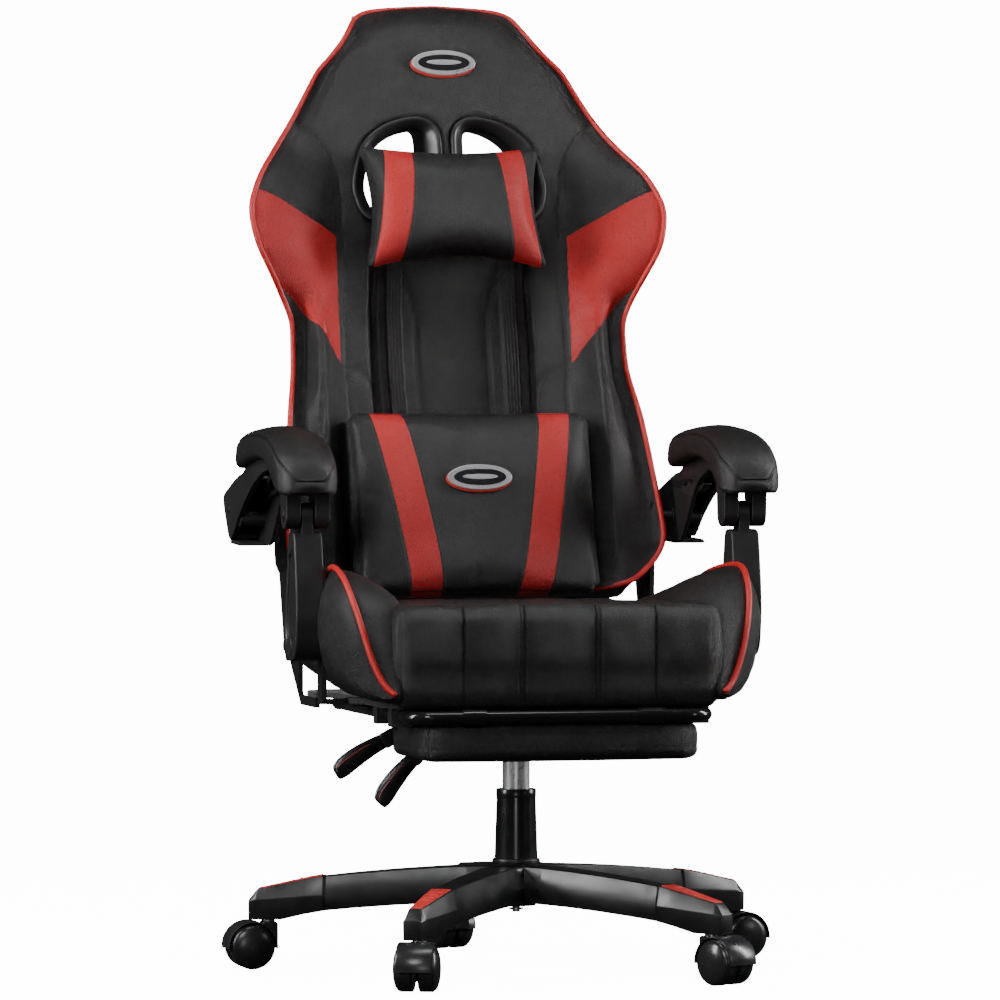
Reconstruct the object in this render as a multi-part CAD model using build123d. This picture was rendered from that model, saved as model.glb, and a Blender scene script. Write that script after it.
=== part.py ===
from build123d import *
import math
import os

# Gaming chair. Millimetres, +Z up. The origin is on the column axis at the floor.
# The sitter faces -Y. Left and right are as seen from the front, so right is at +X.

# Star base
ARM_COUNT = 5
FIRST_ARM_DEG = 90
ARM_TIP_RADIUS = 332
ARM_TIP_BOTTOM = 61
ARM_TIP_TOP = 98
ARM_TIP_WIDTH = 31
ARM_ROOT_WIDTH = 52
HUB_RADIUS = 38
HUB_BOTTOM = 84
HUB_TOP = 133
INSERT_LENGTH = 88
INSERT_WIDTH = 21
INSERT_THICKNESS = 3

# Casters
STEM_CIRCLE = 309
STEM_RADIUS = 5.5
STEM_BOTTOM = 51
STEM_TOP = 84
CASTER_TRAIL = 23
WHEEL_RADIUS = 28
WHEEL_WIDTH = 24
WHEEL_GAP = 7
HOOD_RADIUS = 30.5
HOOD_WIDTH = 5.4
AXLE_RADIUS = 4
RUNNING_FIT = 0.05
# Direction in which each caster trails, one for each arm, anticlockwise from the rear arm.
CASTER_TRAIL_DEG = (110, 180, 249, 300, 6)

# Gas lift
HOUSING_SEAT_RADIUS = 25
HOUSING_LOW_RADIUS = 27
HOUSING_TOP_RADIUS = 24
HOUSING_TOP = 224
HOUSING_BOTTOM = 80
HOUSING_BORE = 21.5
BUSHING_BOTTOM = 176
CYLINDER_RADIUS = 17
CYLINDER_BORE = 13.5
CYLINDER_BOTTOM = 146
CYLINDER_TOP = 326
ROD_RADIUS = 5
ROD_TOP = 206
ROD_BOTTOM = 72
CLIP_BOTTOM = 75
CLIP_THICKNESS = 2
RELEASE_PIN_RADIUS = 4

# Tilt mechanism and levers under the seat
MECHANISM_BOTTOM = 277
MECHANISM_TOP = 334
MECHANISM_HALF_WIDTH = 62
MECHANISM_FRONT = -40
MECHANISM_REAR = 92
MECHANISM_WALL = 4
LEVER_PIVOT_X = -40
LEVER_PIN_RADIUS = 3
HEIGHT_LEVER_Y = 52
RECLINE_LEVER_Y = -8
LEVER_ROD_RADIUS = 4
GRIP_ROOT_WIDTH = 17
GRIP_TIP_WIDTH = 22
GRIP_THICKNESS = 13
HEIGHT_LEVER_Z = 300
RECLINE_LEVER_Z = 290

# Seat
SEAT_PAN_BOTTOM = 334
SEAT_PAN_HALF = 228
SEAT_PAN_TOP = 341
SEAT_FRONT = -222
SEAT_REAR = 205
SEAT_TOP = 457
SEAT_CORE_HALF = 168
BOLSTER_INNER = 169
BOLSTER_OUTER = 249
BOLSTER_TOP = 506

# Footrest
FOOTREST_BAR_Y = -232
FOOTREST_Z = 325
FOOTREST_HALF = 186
TUBE_RADIUS = 8
TUBE_BEND = 30
TUBE_REAR = 170
FOOTREST_GUIDE_Y = (-166, -88)
PAD_HALF = 168
PAD_FRONT = -237
PAD_REAR = -52
PAD_BOTTOM = 274
PAD_TOP = 315.5
PAD_HINGE_HALF = 110

# Recline hinge and the armrest parallelogram, as (y, z) of each pivot
RECLINE_PIVOT = (243, 395)
ARM_PIVOT = (235, 556)
STRUT_PIVOT = (-38, 405)
BRACKET_THICKNESS = 6
SEAT_BRACKET_X = 224.4
BACK_BRACKET_X = 230.8
PIVOT_PIN_RADIUS = 7

# Armrests
ARM_X = 280
ARM_HALF_WIDTH = 39
ARM_NOSE_Y = -92
ARM_TAIL_Y = 192
ARM_TOP_Z = 670
ARM_NOSE_Z = 590
CLEVIS_X = 277
CLEVIS_HALF = 27.5
TONGUE_HALF = 7.5
CLEVIS_RADIUS = 17.5
STRUT_HALF = 18.5
# Side view of the strut's blade, as (y, z) from its lower pivot
STRUT_BLADE = [(-34, 6), (-22, -14), (0, -19), (24, -12), (34, 6), (26, 60), (8, 138), (-20, 139),
               (-38, 70), (-40, 30)]

# Backrest, in its own leaning plane: s runs up the back, d stands forward of it
BACK_FOOT_Y = 200
BACK_FOOT_Z = 470
BACK_LEAN_DEG = 17
BACK_HEIGHT = 784
WINDOW_INNER_X = 9
WINDOW_OUTER_X = 127
WINDOW_LOW_S = 486
WINDOW_HIGH_S = 624
BEZEL_WALL = 16
BEZEL_PROUD = 1
RECESS_FLOOR = -50

# Pillows, in the same leaning plane
HEAD_PILLOW_HALF = 118
HEAD_PILLOW_S = (428, 580)
HEAD_PILLOW_D = (2, 66)
LUMBAR_HALF = 160
LUMBAR_S = (2, 228)
LUMBAR_D = (-47, 50)

BACK_PLANE = Plane(
    origin=(0, BACK_FOOT_Y, BACK_FOOT_Z),
    x_dir=(1, 0, 0),
    z_dir=(0, -math.cos(math.radians(BACK_LEAN_DEG)), math.sin(math.radians(BACK_LEAN_DEG))),
)


def save(name, *solids):
    """Write one node as a STEP file."""
    pieces = []
    for solid in solids:
        pieces.extend(solid.solids())
    shape = pieces[0] if len(pieces) == 1 else Compound(children=pieces)
    export_step(shape, f"parts/{name}.step")


def box_between(low, high):
    """Axis-aligned box between two corners."""
    size = [b - a for a, b in zip(low, high)]
    middle = [(a + b) / 2 for a, b in zip(low, high)]
    return Pos(*middle) * Box(*size)


def rod_z(radius, bottom, top):
    """Vertical round bar on the Z axis."""
    return Pos(0, 0, (bottom + top) / 2) * Cylinder(radius, top - bottom)


def rod_x(radius, x_low, x_high, y, z):
    """Round bar along X through the point (y, z)."""
    return Pos((x_low + x_high) / 2, y, z) * Rot(0, 90, 0) * Cylinder(radius, x_high - x_low)


def rod_y(radius, x, y_low, y_high, z):
    """Round bar along Y through the point (x, z)."""
    return Pos(x, (y_low + y_high) / 2, z) * Rot(90, 0, 0) * Cylinder(radius, y_high - y_low)


def side_plate(points, x_low, x_high, corner=0):
    """Plate whose outline is drawn in the YZ plane, from x_low to x_high."""
    outline = make_face(Polyline(*[(0, y, z) for y, z in points], close=True))
    if corner:
        outline = fillet_outline(outline, corner)
    plate = extrude(outline, amount=x_high - x_low, dir=(1, 0, 0))
    return Pos(x_low, 0, 0) * plate


def fillet_outline(outline, radius):
    """Round every corner of a flat face."""
    return fillet(outline.vertices(), radius)


def mirrored(solid):
    """The same solid on the other side of the chair."""
    return mirror(solid, about=Plane.YZ)


def sides(solid):
    """Left and right copies by name; the solid given is the one at +X."""
    return (("right", solid), ("left", mirrored(solid)))


# ---------------------------------------------------------------- star base


def base_arm():
    """One arm along +X: an arched beam, open below, that narrows to its tip."""
    upper = [(20, 131), (82, 128), (157, 124), (242, 115), (281, 107), (324, ARM_TIP_TOP)]
    lower = [(ARM_TIP_RADIUS, ARM_TIP_BOTTOM), (292, ARM_TIP_BOTTOM), (239, 73), (144, 81), (20, HUB_BOTTOM)]
    tip_corner = (ARM_TIP_RADIUS, ARM_TIP_TOP - 10)
    wire = Polyline(*[(r, 0, z) for r, z in upper + [tip_corner] + lower], close=True)
    beam = extrude(make_face(wire), amount=ARM_ROOT_WIDTH / 2, both=True)
    half_root = ARM_ROOT_WIDTH / 2
    half_tip = ARM_TIP_WIDTH / 2
    plan = [(10, -half_root), (ARM_TIP_RADIUS, -half_tip), (ARM_TIP_RADIUS, half_tip), (10, half_root)]
    taper = extrude(make_face(Polyline(*plan, close=True)), amount=2 * HUB_TOP)
    beam = beam & taper
    wall = 4
    pocket_plan = [(HUB_RADIUS + 8, wall - half_root + 3), (STEM_CIRCLE - 36, wall - half_tip - 2),
                   (STEM_CIRCLE - 36, half_tip + 2 - wall), (HUB_RADIUS + 8, half_root - wall - 3)]
    pocket_side = [(HUB_RADIUS + 8, 0), (STEM_CIRCLE - 36, 0), (STEM_CIRCLE - 36, 100),
                   (157, 117), (HUB_RADIUS + 8, 122)]
    pocket = extrude(make_face(Polyline(*pocket_plan, close=True)), amount=HUB_TOP)
    side = make_face(Polyline(*[(r, 0, z) for r, z in pocket_side], close=True))
    pocket = pocket & extrude(side, amount=ARM_ROOT_WIDTH, both=True)
    return beam - pocket


def insert_recess(depth):
    """Sloping trapezoid on top of an arm's tip, sunk by depth."""
    start = ARM_TIP_RADIUS - 12 - INSERT_LENGTH
    slope = math.degrees(math.atan2(115 - ARM_TIP_TOP, 324 - 242))
    half_in = INSERT_WIDTH / 2 + 1
    half_out = INSERT_WIDTH / 2 - 3
    plan = [(0, -half_in), (INSERT_LENGTH, -half_out), (INSERT_LENGTH, half_out), (0, half_in)]
    plate = extrude(make_face(Polyline(*plan, close=True)), amount=INSERT_THICKNESS)
    return Pos(start, 0, 115.6 - depth) * Rot(0, slope, 0) * plate


def arm_angles():
    """Direction of each arm in degrees."""
    return [FIRST_ARM_DEG + 360 / ARM_COUNT * index for index in range(ARM_COUNT)]


def build_base():
    hub = rod_z(HUB_RADIUS, HUB_BOTTOM, HUB_TOP)
    bore = rod_z(HOUSING_SEAT_RADIUS, 0, HUB_TOP + 1)
    socket = Pos(STEM_CIRCLE, 0, 0) * rod_z(STEM_RADIUS, 0, STEM_TOP)
    insert = insert_recess(INSERT_THICKNESS - 0.8)
    star = hub
    inserts = []
    stems = []
    for angle in arm_angles():
        turn = Rot(0, 0, angle)
        star = star + turn * base_arm()
        inserts.append(turn * insert)
        stem = Pos(STEM_CIRCLE, 0, 0) * rod_z(STEM_RADIUS, STEM_BOTTOM, STEM_TOP)
        collar = Pos(STEM_CIRCLE, 0, 0) * rod_z(STEM_RADIUS + 3, ARM_TIP_BOTTOM - 2.5, ARM_TIP_BOTTOM)
        stems.append(turn * (stem + collar))
    for angle in arm_angles():
        star = star - Rot(0, 0, angle) * socket
        star = star - Rot(0, 0, angle) * insert
    star = star - bore
    save("star_base", star)
    save("base_arm_inserts", *inserts)
    save("caster_stems", *stems)


# ---------------------------------------------------------------- casters


def caster_fork():
    """Twin-wheel caster body, trailing along +X from its stem: centre web, boss and rear hood."""
    web = Pos(CASTER_TRAIL, 0, WHEEL_RADIUS) * Rot(90, 0, 0) * Cylinder(HOOD_RADIUS, HOOD_WIDTH)
    cut_low = box_between((-60, -40, -60), (80, 40, 13))
    web = web - cut_low
    boss = rod_z(STEM_RADIUS + 3, STEM_BOTTOM - 2, 57.5)
    cap_outer = Pos(CASTER_TRAIL, 0, WHEEL_RADIUS) * Rot(90, 0, 0) * Cylinder(HOOD_RADIUS + 1.5, 46)
    cap_inner = Pos(CASTER_TRAIL, 0, WHEEL_RADIUS) * Rot(90, 0, 0) * Cylinder(WHEEL_RADIUS + 1, 60)
    keep = box_between((-12, -23, 42), (CASTER_TRAIL + 16, 23, 70))
    hood = (cap_outer - cap_inner) & keep
    fork = web + boss + hood
    fork = fork - rod_z(STEM_RADIUS + RUNNING_FIT, STEM_BOTTOM, 70)
    axle_bore = Pos(CASTER_TRAIL, 0, WHEEL_RADIUS) * Rot(90, 0, 0) * Cylinder(AXLE_RADIUS, 30)
    wheel_room = Pos(CASTER_TRAIL, 0, WHEEL_RADIUS) * Rot(90, 0, 0) * Cylinder(WHEEL_RADIUS + 1, 80)
    web_zone = box_between((-60, -HOOD_WIDTH / 2, -10), (80, HOOD_WIDTH / 2, 80))
    return fork - axle_bore - (wheel_room - web_zone)


def caster_wheel(side):
    """One wheel with a domed outer face; side is +1 or -1 along the axle."""
    inner = WHEEL_GAP / 2
    outer = inner + WHEEL_WIDTH
    dome = 5
    profile = Polyline((AXLE_RADIUS + RUNNING_FIT, inner), (WHEEL_RADIUS - 1.5, inner),
                       (WHEEL_RADIUS, inner + 1.5), (WHEEL_RADIUS, outer - dome - 2))
    crown = ThreePointArc((WHEEL_RADIUS, outer - dome - 2), (WHEEL_RADIUS - 6, outer - 2.4), (14, outer))
    close = Polyline((14, outer), (AXLE_RADIUS + RUNNING_FIT, outer), (AXLE_RADIUS + RUNNING_FIT, inner))
    face = make_face(profile + crown + close)
    wheel = revolve(face, Axis.Y)
    if side < 0:
        wheel = mirror(wheel, about=Plane.XZ)
    return Pos(CASTER_TRAIL, 0, WHEEL_RADIUS) * wheel


def build_casters():
    half_axle = WHEEL_GAP / 2 + WHEEL_WIDTH - 1
    axle = Pos(CASTER_TRAIL, 0, WHEEL_RADIUS) * Rot(90, 0, 0) * Cylinder(AXLE_RADIUS, 2 * half_axle)
    pieces = {"fork": (caster_fork(), axle), "wheel_a": (caster_wheel(1),), "wheel_b": (caster_wheel(-1),)}
    for number, angle in enumerate(arm_angles(), start=1):
        x = STEM_CIRCLE * math.cos(math.radians(angle))
        y = STEM_CIRCLE * math.sin(math.radians(angle))
        place = Pos(x, y, 0) * Rot(0, 0, CASTER_TRAIL_DEG[number - 1])
        for name, solids in pieces.items():
            save(f"caster_{number}_{name}", *[place * solid for solid in solids])


# ---------------------------------------------------------------- gas lift


def build_gas_lift():
    floor_top = HOUSING_BOTTOM + 4
    outline = Polyline((HOUSING_BORE, floor_top), (HOUSING_BORE, HOUSING_TOP),
                       (HOUSING_TOP_RADIUS, HOUSING_TOP),
                       (HOUSING_LOW_RADIUS, HUB_TOP), (HOUSING_SEAT_RADIUS, HUB_TOP),
                       (HOUSING_SEAT_RADIUS, HUB_BOTTOM), (HOUSING_SEAT_RADIUS - 0.8, HOUSING_BOTTOM),
                       (ROD_RADIUS + 1, HOUSING_BOTTOM), (ROD_RADIUS + 1, floor_top), close=True)
    housing = revolve(make_face(Plane.XZ * outline), Axis.Z)
    save("gas_lift_housing", housing)
    bushing = rod_z(HOUSING_BORE, BUSHING_BOTTOM, HOUSING_TOP)
    bushing = bushing - rod_z(CYLINDER_RADIUS + RUNNING_FIT, BUSHING_BOTTOM - 5, HOUSING_TOP + 1)
    save("guide_bushing", bushing)
    bearing = rod_z(11, floor_top, floor_top + 5) - rod_z(ROD_RADIUS + RUNNING_FIT, 60, 100)
    save("thrust_bearing", bearing)
    shoulder = rod_z(9, floor_top + 5 + RUNNING_FIT, floor_top + 8)
    piston = rod_z(CYLINDER_BORE - RUNNING_FIT, ROD_TOP - 14, ROD_TOP)
    rod = rod_z(ROD_RADIUS, ROD_BOTTOM, ROD_TOP) + shoulder + piston
    clip_top = CLIP_BOTTOM + CLIP_THICKNESS
    core = rod_z(ROD_RADIUS - 1, CLIP_BOTTOM - 1, clip_top + 1)
    groove = rod_z(ROD_RADIUS, CLIP_BOTTOM - 0.2, clip_top + 0.2) - core
    save("piston_rod", rod - groove)
    clip = rod_z(9, CLIP_BOTTOM, clip_top) - core
    save("rod_clip", clip)
    cylinder = rod_z(CYLINDER_RADIUS, CYLINDER_BOTTOM, CYLINDER_TOP)
    hollow = rod_z(CYLINDER_BORE, CYLINDER_BOTTOM + 8, CYLINDER_TOP - 14)
    rod_bore = rod_z(ROD_RADIUS + RUNNING_FIT, 100, CYLINDER_BOTTOM + 20)
    pin_bore = rod_z(RELEASE_PIN_RADIUS + RUNNING_FIT, 300, CYLINDER_TOP + 1)
    save("gas_cylinder", cylinder - hollow - rod_bore - pin_bore)
    save("release_pin", rod_z(RELEASE_PIN_RADIUS, CYLINDER_TOP - 10, CYLINDER_TOP + 4))


# ---------------------------------------------------------------- under the seat


def build_mechanism():
    wall = MECHANISM_WALL
    half = MECHANISM_HALF_WIDTH
    body = box_between((-half, MECHANISM_FRONT, MECHANISM_BOTTOM), (half, MECHANISM_REAR, 330))
    body = fillet(body.edges().filter_by(Axis.Z), 14)
    hollow = box_between((wall - half, MECHANISM_FRONT + wall, 200),
                         (half - wall, MECHANISM_REAR - wall, 328))
    hollow = fillet(hollow.edges().filter_by(Axis.Z), 10)
    flange = box_between((-105, -100, 328), (105, 122, MECHANISM_TOP))
    flange = fillet(flange.edges().filter_by(Axis.Z), 18)
    socket = rod_z(CYLINDER_RADIUS + 6, MECHANISM_BOTTOM + 2, 330)
    mechanism = (body - hollow) + flange + socket
    for lever_y, lever_z, wall_y in ((HEIGHT_LEVER_Y, HEIGHT_LEVER_Z, MECHANISM_REAR - 2),
                                     (RECLINE_LEVER_Y, RECLINE_LEVER_Z, MECHANISM_FRONT + 2)):
        reach = 8 if wall_y > lever_y else -8
        low = min(lever_y - reach, wall_y)
        high = max(lever_y - reach, wall_y)
        pin = rod_y(LEVER_PIN_RADIUS, LEVER_PIVOT_X, low, high, lever_z)
        window = box_between((-half - 5, lever_y - 6, lever_z - 6),
                             (2 + wall - half, lever_y + 6, lever_z + 12))
        mechanism = mechanism + pin - window
    mechanism = mechanism - rod_z(CYLINDER_RADIUS, 200, CYLINDER_TOP)
    mechanism = mechanism - rod_z(RELEASE_PIN_RADIUS + 3, 300, CYLINDER_TOP + 6)
    save("tilt_mechanism", mechanism)
    bolts = []
    for x in (-88, 88):
        for y in (-82, 104):
            bolts.append(Pos(x, y, 0) * rod_z(7, 323, 328))
    save("mechanism_bolts", *bolts)


def lever_rod(y, z, x_end, tip):
    """Bent steel rod from inside the mechanism, out along -X and down to its tip."""
    path = FilletPolyline((LEVER_PIVOT_X, y, z), (x_end, y, z), tip, radius=14)
    section = Plane(origin=path @ 0, z_dir=path % 0) * Circle(LEVER_ROD_RADIUS)
    eye = Pos(LEVER_PIVOT_X, y, z) * Rot(90, 0, 0) * Cylinder(LEVER_PIN_RADIUS + 4, 10)
    eye_bore = Pos(LEVER_PIVOT_X, y, z) * Rot(90, 0, 0) * Cylinder(LEVER_PIN_RADIUS + RUNNING_FIT, 20)
    return sweep(section, path=path) + eye - eye_bore


def lever_paddle(start, end):
    """Flat tapering handle from start to end, seen broad from the front."""
    run = Vector(*end) - Vector(*start)
    place = Plane(origin=start, x_dir=run, z_dir=(0, -1, 0))
    half_root = GRIP_ROOT_WIDTH / 2
    half_tip = GRIP_TIP_WIDTH / 2
    nose_start = run.length - half_tip
    outline = Polyline((0, -half_root), (nose_start, -half_tip))
    nose = ThreePointArc((nose_start, -half_tip), (run.length, 0), (nose_start, half_tip))
    back = Polyline((nose_start, half_tip), (0, half_root), (0, -half_root))
    blade = extrude(place * make_face(outline + nose + back), amount=GRIP_THICKNESS / 2, both=True)
    return fillet(blade.edges(), 2)


def build_levers():
    height_tip = (-172, HEIGHT_LEVER_Y, 277)
    recline_tip = (-142, RECLINE_LEVER_Y, 256)
    height_rod = lever_rod(HEIGHT_LEVER_Y, HEIGHT_LEVER_Z, -118, height_tip)
    recline_rod = lever_rod(RECLINE_LEVER_Y, RECLINE_LEVER_Z, -100, recline_tip)
    height_grip = lever_paddle((-150, HEIGHT_LEVER_Y, 286), (-222, HEIGHT_LEVER_Y, 243))
    recline_grip = lever_paddle((-128, RECLINE_LEVER_Y, 268), (-180, RECLINE_LEVER_Y, 208))
    save("height_lever_rod", height_rod)
    save("recline_lever_rod", recline_rod)
    save("height_lever_grip", height_grip - height_rod)
    save("recline_lever_grip", recline_grip - recline_rod)


# ---------------------------------------------------------------- seat


def build_seat():
    pan = box_between((-SEAT_PAN_HALF, SEAT_FRONT + 14, SEAT_PAN_BOTTOM),
                      (SEAT_PAN_HALF, SEAT_REAR, SEAT_PAN_TOP))
    pan = fillet(pan.edges().filter_by(Axis.Z).group_by(Axis.Y)[0], 70)
    pan = fillet(pan.edges().filter_by(Axis.Z).group_by(Axis.Y)[-1], 30)
    save("seat_pan", pan)
    core_side = [(SEAT_FRONT + 4, SEAT_PAN_TOP), (SEAT_FRONT, 400), (SEAT_FRONT + 2, SEAT_TOP - 18),
                 (SEAT_FRONT + 22, SEAT_TOP), (SEAT_REAR, SEAT_TOP - 6), (SEAT_REAR, SEAT_PAN_TOP)]
    save("seat_cushion", side_plate(core_side, -SEAT_CORE_HALF, SEAT_CORE_HALF))
    section = [(BOLSTER_INNER, SEAT_PAN_TOP), (236, SEAT_PAN_TOP), (BOLSTER_OUTER, 390), (BOLSTER_OUTER, 488),
               (238, BOLSTER_TOP), (222, BOLSTER_TOP), (186, 478), (BOLSTER_INNER, 458)]
    face = make_face(Polyline(*[(x, SEAT_FRONT, z) for x, z in section], close=True))
    bolster = extrude(face, amount=SEAT_REAR - SEAT_FRONT, dir=(0, 1, 0))
    front_slope = [(SEAT_FRONT - 1, SEAT_TOP - 20), (-128, BOLSTER_TOP + 1), (SEAT_FRONT - 1, BOLSTER_TOP + 1)]
    rear_slope = [(SEAT_REAR, 440), (188, 470), (180, BOLSTER_TOP + 1), (SEAT_REAR + 1, BOLSTER_TOP + 1)]
    bolster = bolster - side_plate(front_slope, 160, 260) - side_plate(rear_slope, 160, 260)
    plan_corner = [(205, SEAT_FRONT - 1), (260, -150), (260, SEAT_FRONT - 1)]
    corner = make_face(Polyline(*[(x, y, 300) for x, y in plan_corner], close=True))
    bolster = bolster - extrude(corner, amount=260, dir=(0, 0, 1))
    flare_plan = [(BOLSTER_OUTER - 0.1, -150), (267, -128), (265, -98), (BOLSTER_OUTER - 0.1, -82)]
    flare = make_face(Polyline(*[(x, y, 352) for x, y in flare_plan], close=True))
    bolster = bolster + extrude(flare, amount=140, dir=(0, 0, 1))
    for side, solid in sides(bolster):
        save(f"seat_bolster_{side}", solid)


def build_seat_brackets():
    y, z = RECLINE_PIVOT
    rear = SEAT_REAR + 3
    outline = [(110, SEAT_PAN_BOTTOM - 12), (196, SEAT_PAN_BOTTOM - 12), (y + 14, z - 24), (y + 24, z - 6),
               (y + 24, z + 12), (y + 10, z + 22), (y - 12, z + 22), (rear, z + 4), (rear, SEAT_PAN_BOTTOM + 4),
               (rear - 4, SEAT_PAN_BOTTOM), (110, SEAT_PAN_BOTTOM)]
    plate = side_plate(outline, SEAT_BRACKET_X, SEAT_BRACKET_X + BRACKET_THICKNESS)
    pin = rod_x(PIVOT_PIN_RADIUS, SEAT_BRACKET_X, BACK_BRACKET_X + BRACKET_THICKNESS + 5, y, z)
    plate = plate - rod_x(PIVOT_PIN_RADIUS, SEAT_BRACKET_X - 1, SEAT_BRACKET_X + 10, y, z)
    strut_y, strut_z = STRUT_PIVOT
    tab_outline = [(strut_y - 13, SEAT_PAN_BOTTOM), (strut_y + 13, SEAT_PAN_BOTTOM), (strut_y + 14, strut_z + 14),
                   (strut_y - 14, strut_z + 14)]
    tab_x = CLEVIS_X - STRUT_HALF - 1.2
    tab = side_plate(tab_outline, tab_x - 6, tab_x, corner=5)
    tab_foot = box_between((SEAT_PAN_HALF, strut_y - 12, SEAT_PAN_BOTTOM),
                           (tab_x - 5, strut_y + 12, SEAT_PAN_BOTTOM + BRACKET_THICKNESS))
    bolt = rod_x(PIVOT_PIN_RADIUS, tab_x - 6, CLEVIS_X + 12, strut_y, strut_z)
    tab = (tab + tab_foot) - rod_x(PIVOT_PIN_RADIUS, tab_x - 7, tab_x + 1, strut_y, strut_z)
    for side, solid in sides(plate):
        save(f"recline_bracket_{side}", solid)
    for side, solid in sides(tab):
        save(f"strut_bracket_{side}", solid)
    save("seat_pivot_pins", pin, mirrored(pin), bolt, mirrored(bolt))


# ---------------------------------------------------------------- footrest


def build_footrest():
    rail = FilletPolyline((-FOOTREST_HALF, TUBE_REAR, FOOTREST_Z), (-FOOTREST_HALF, FOOTREST_BAR_Y, FOOTREST_Z),
                          (FOOTREST_HALF, FOOTREST_BAR_Y, FOOTREST_Z),
                          (FOOTREST_HALF, TUBE_REAR, FOOTREST_Z), radius=TUBE_BEND)
    section = Plane(origin=rail @ 0, z_dir=rail % 0) * Circle(TUBE_RADIUS)
    save("footrest_frame", sweep(section, path=rail))
    caps = []
    guides = []
    for x in (-FOOTREST_HALF, FOOTREST_HALF):
        cap = rod_y(TUBE_RADIUS + 0.8, x, TUBE_REAR, TUBE_REAR + 6, FOOTREST_Z)
        caps.append(cap)
        for y in FOOTREST_GUIDE_Y:
            block = box_between((x - 13, y - 10, 312), (x + 13, y + 10, SEAT_PAN_BOTTOM))
            bore = rod_y(TUBE_RADIUS + RUNNING_FIT, x, y - 20, y + 20, FOOTREST_Z)
            guides.append(block - bore)
    save("footrest_end_caps", *caps)
    save("footrest_guides", *guides)
    pad = box_between((-PAD_HALF, PAD_FRONT, PAD_BOTTOM), (PAD_HALF, PAD_REAR, PAD_TOP))
    pad = fillet(pad.edges().filter_by(Axis.Z), 34)
    pad = fillet(pad.edges().group_by(Axis.Z)[0], 10)
    save("footrest_pad", pad)
    straps = []
    for x in (-PAD_HINGE_HALF, PAD_HINGE_HALF):
        loop = rod_x(TUBE_RADIUS + 2, x - 14, x + 14, FOOTREST_BAR_Y, FOOTREST_Z)
        foot = box_between((x - 14, PAD_FRONT + 2, PAD_TOP), (x + 14, FOOTREST_BAR_Y + 26, PAD_TOP + 2.5))
        bore = rod_x(TUBE_RADIUS + RUNNING_FIT, x - 20, x + 20, FOOTREST_BAR_Y, FOOTREST_Z)
        below = box_between((x - 20, -300, 280), (x + 20, -100, PAD_TOP))
        straps.append((loop + foot) - bore - below)
    save("footrest_hinge_clips", *straps)


# ---------------------------------------------------------------- armrests and struts


def build_arms():
    q_y = STRUT_PIVOT[0] + ARM_PIVOT[0] - RECLINE_PIVOT[0]
    q_z = STRUT_PIVOT[1] + ARM_PIVOT[1] - RECLINE_PIVOT[1]
    nose = (ARM_NOSE_Y, ARM_NOSE_Z + 14)
    tail = (ARM_TAIL_Y, ARM_TOP_Z - 8)
    top = Spline(nose, (ARM_NOSE_Y + 8, 640), (-40, 662), (60, ARM_TOP_Z), tail)
    rest = Polyline(tail, (ARM_TAIL_Y, 622), (60, 636), (10, 632), (-40, 612),
                    (ARM_NOSE_Y + 12, ARM_NOSE_Z), nose)
    outline = make_face(Plane.YZ * (top + rest))
    pad = Pos(ARM_X - ARM_HALF_WIDTH, 0, 0) * extrude(outline, amount=2 * ARM_HALF_WIDTH, dir=(1, 0, 0))
    support_side = [(ARM_NOSE_Y + 14, 588), (q_y - 2, q_z - 17), (q_y + 17, q_z + 2), (30, 612), (110, 606), (170, 570),
                    (ARM_PIVOT[0] - 20, 522), (ARM_PIVOT[0] + 34, 520), (ARM_PIVOT[0] + 46, 575), (200, 621),
                    (60, 635), (10, 631), (-40, 611)]
    arch = side_plate(support_side, CLEVIS_X - CLEVIS_HALF + 14, CLEVIS_X + CLEVIS_HALF)
    cheeks = rod_x(CLEVIS_RADIUS, CLEVIS_X - CLEVIS_HALF, CLEVIS_X + CLEVIS_HALF, q_y, q_z)
    inner_web = side_plate([(q_y - 17, q_z + 8), (q_y + 17, q_z), (20, 622), (-40, 611)],
                           CLEVIS_X - CLEVIS_HALF, CLEVIS_X - CLEVIS_HALF + 15)
    slot_half = TONGUE_HALF + 0.6
    slot = box_between((CLEVIS_X - slot_half, q_y - 60, q_z - 60), (CLEVIS_X + slot_half, q_y + 60, q_z + 22))
    pivot_bore = rod_x(PIVOT_PIN_RADIUS + RUNNING_FIT, 200, ARM_X + 18, *ARM_PIVOT)
    q_bore = rod_x(6, 240, 310, q_y, q_z)
    support = (arch + cheeks + inner_web) - slot - pivot_bore - q_bore
    q_bolt = rod_x(6, CLEVIS_X - CLEVIS_HALF + 3, CLEVIS_X + CLEVIS_HALF - 3, q_y, q_z)
    for side, solid in sides(pad):
        save(f"armrest_pad_{side}", solid)
    save("armrest_support_right", support, q_bolt)
    save("armrest_support_left", mirrored(support), mirrored(q_bolt))
    low_y, low_z = STRUT_PIVOT
    blade = [(low_y + y, low_z + z) for y, z in STRUT_BLADE]
    strut = side_plate(blade, CLEVIS_X - STRUT_HALF, CLEVIS_X + STRUT_HALF)
    tongue = rod_x(CLEVIS_RADIUS - 2, CLEVIS_X - TONGUE_HALF, CLEVIS_X + TONGUE_HALF, q_y, q_z)
    neck = side_plate([(q_y - 14, q_z - 36), (q_y + 18, q_z - 36), (q_y + 14, q_z), (q_y - 14, q_z)],
                      CLEVIS_X - TONGUE_HALF, CLEVIS_X + TONGUE_HALF)
    open_bore = rod_x(6.6, 240, 310, q_y, q_z)
    bolt_room = rod_x(PIVOT_PIN_RADIUS + RUNNING_FIT, 200, CLEVIS_X + 12 + RUNNING_FIT, low_y, low_z)
    strut = strut + tongue + neck - open_bore - bolt_room
    for side, solid in sides(strut):
        save(f"armrest_strut_{side}", solid)


# ---------------------------------------------------------------- backrest


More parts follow.
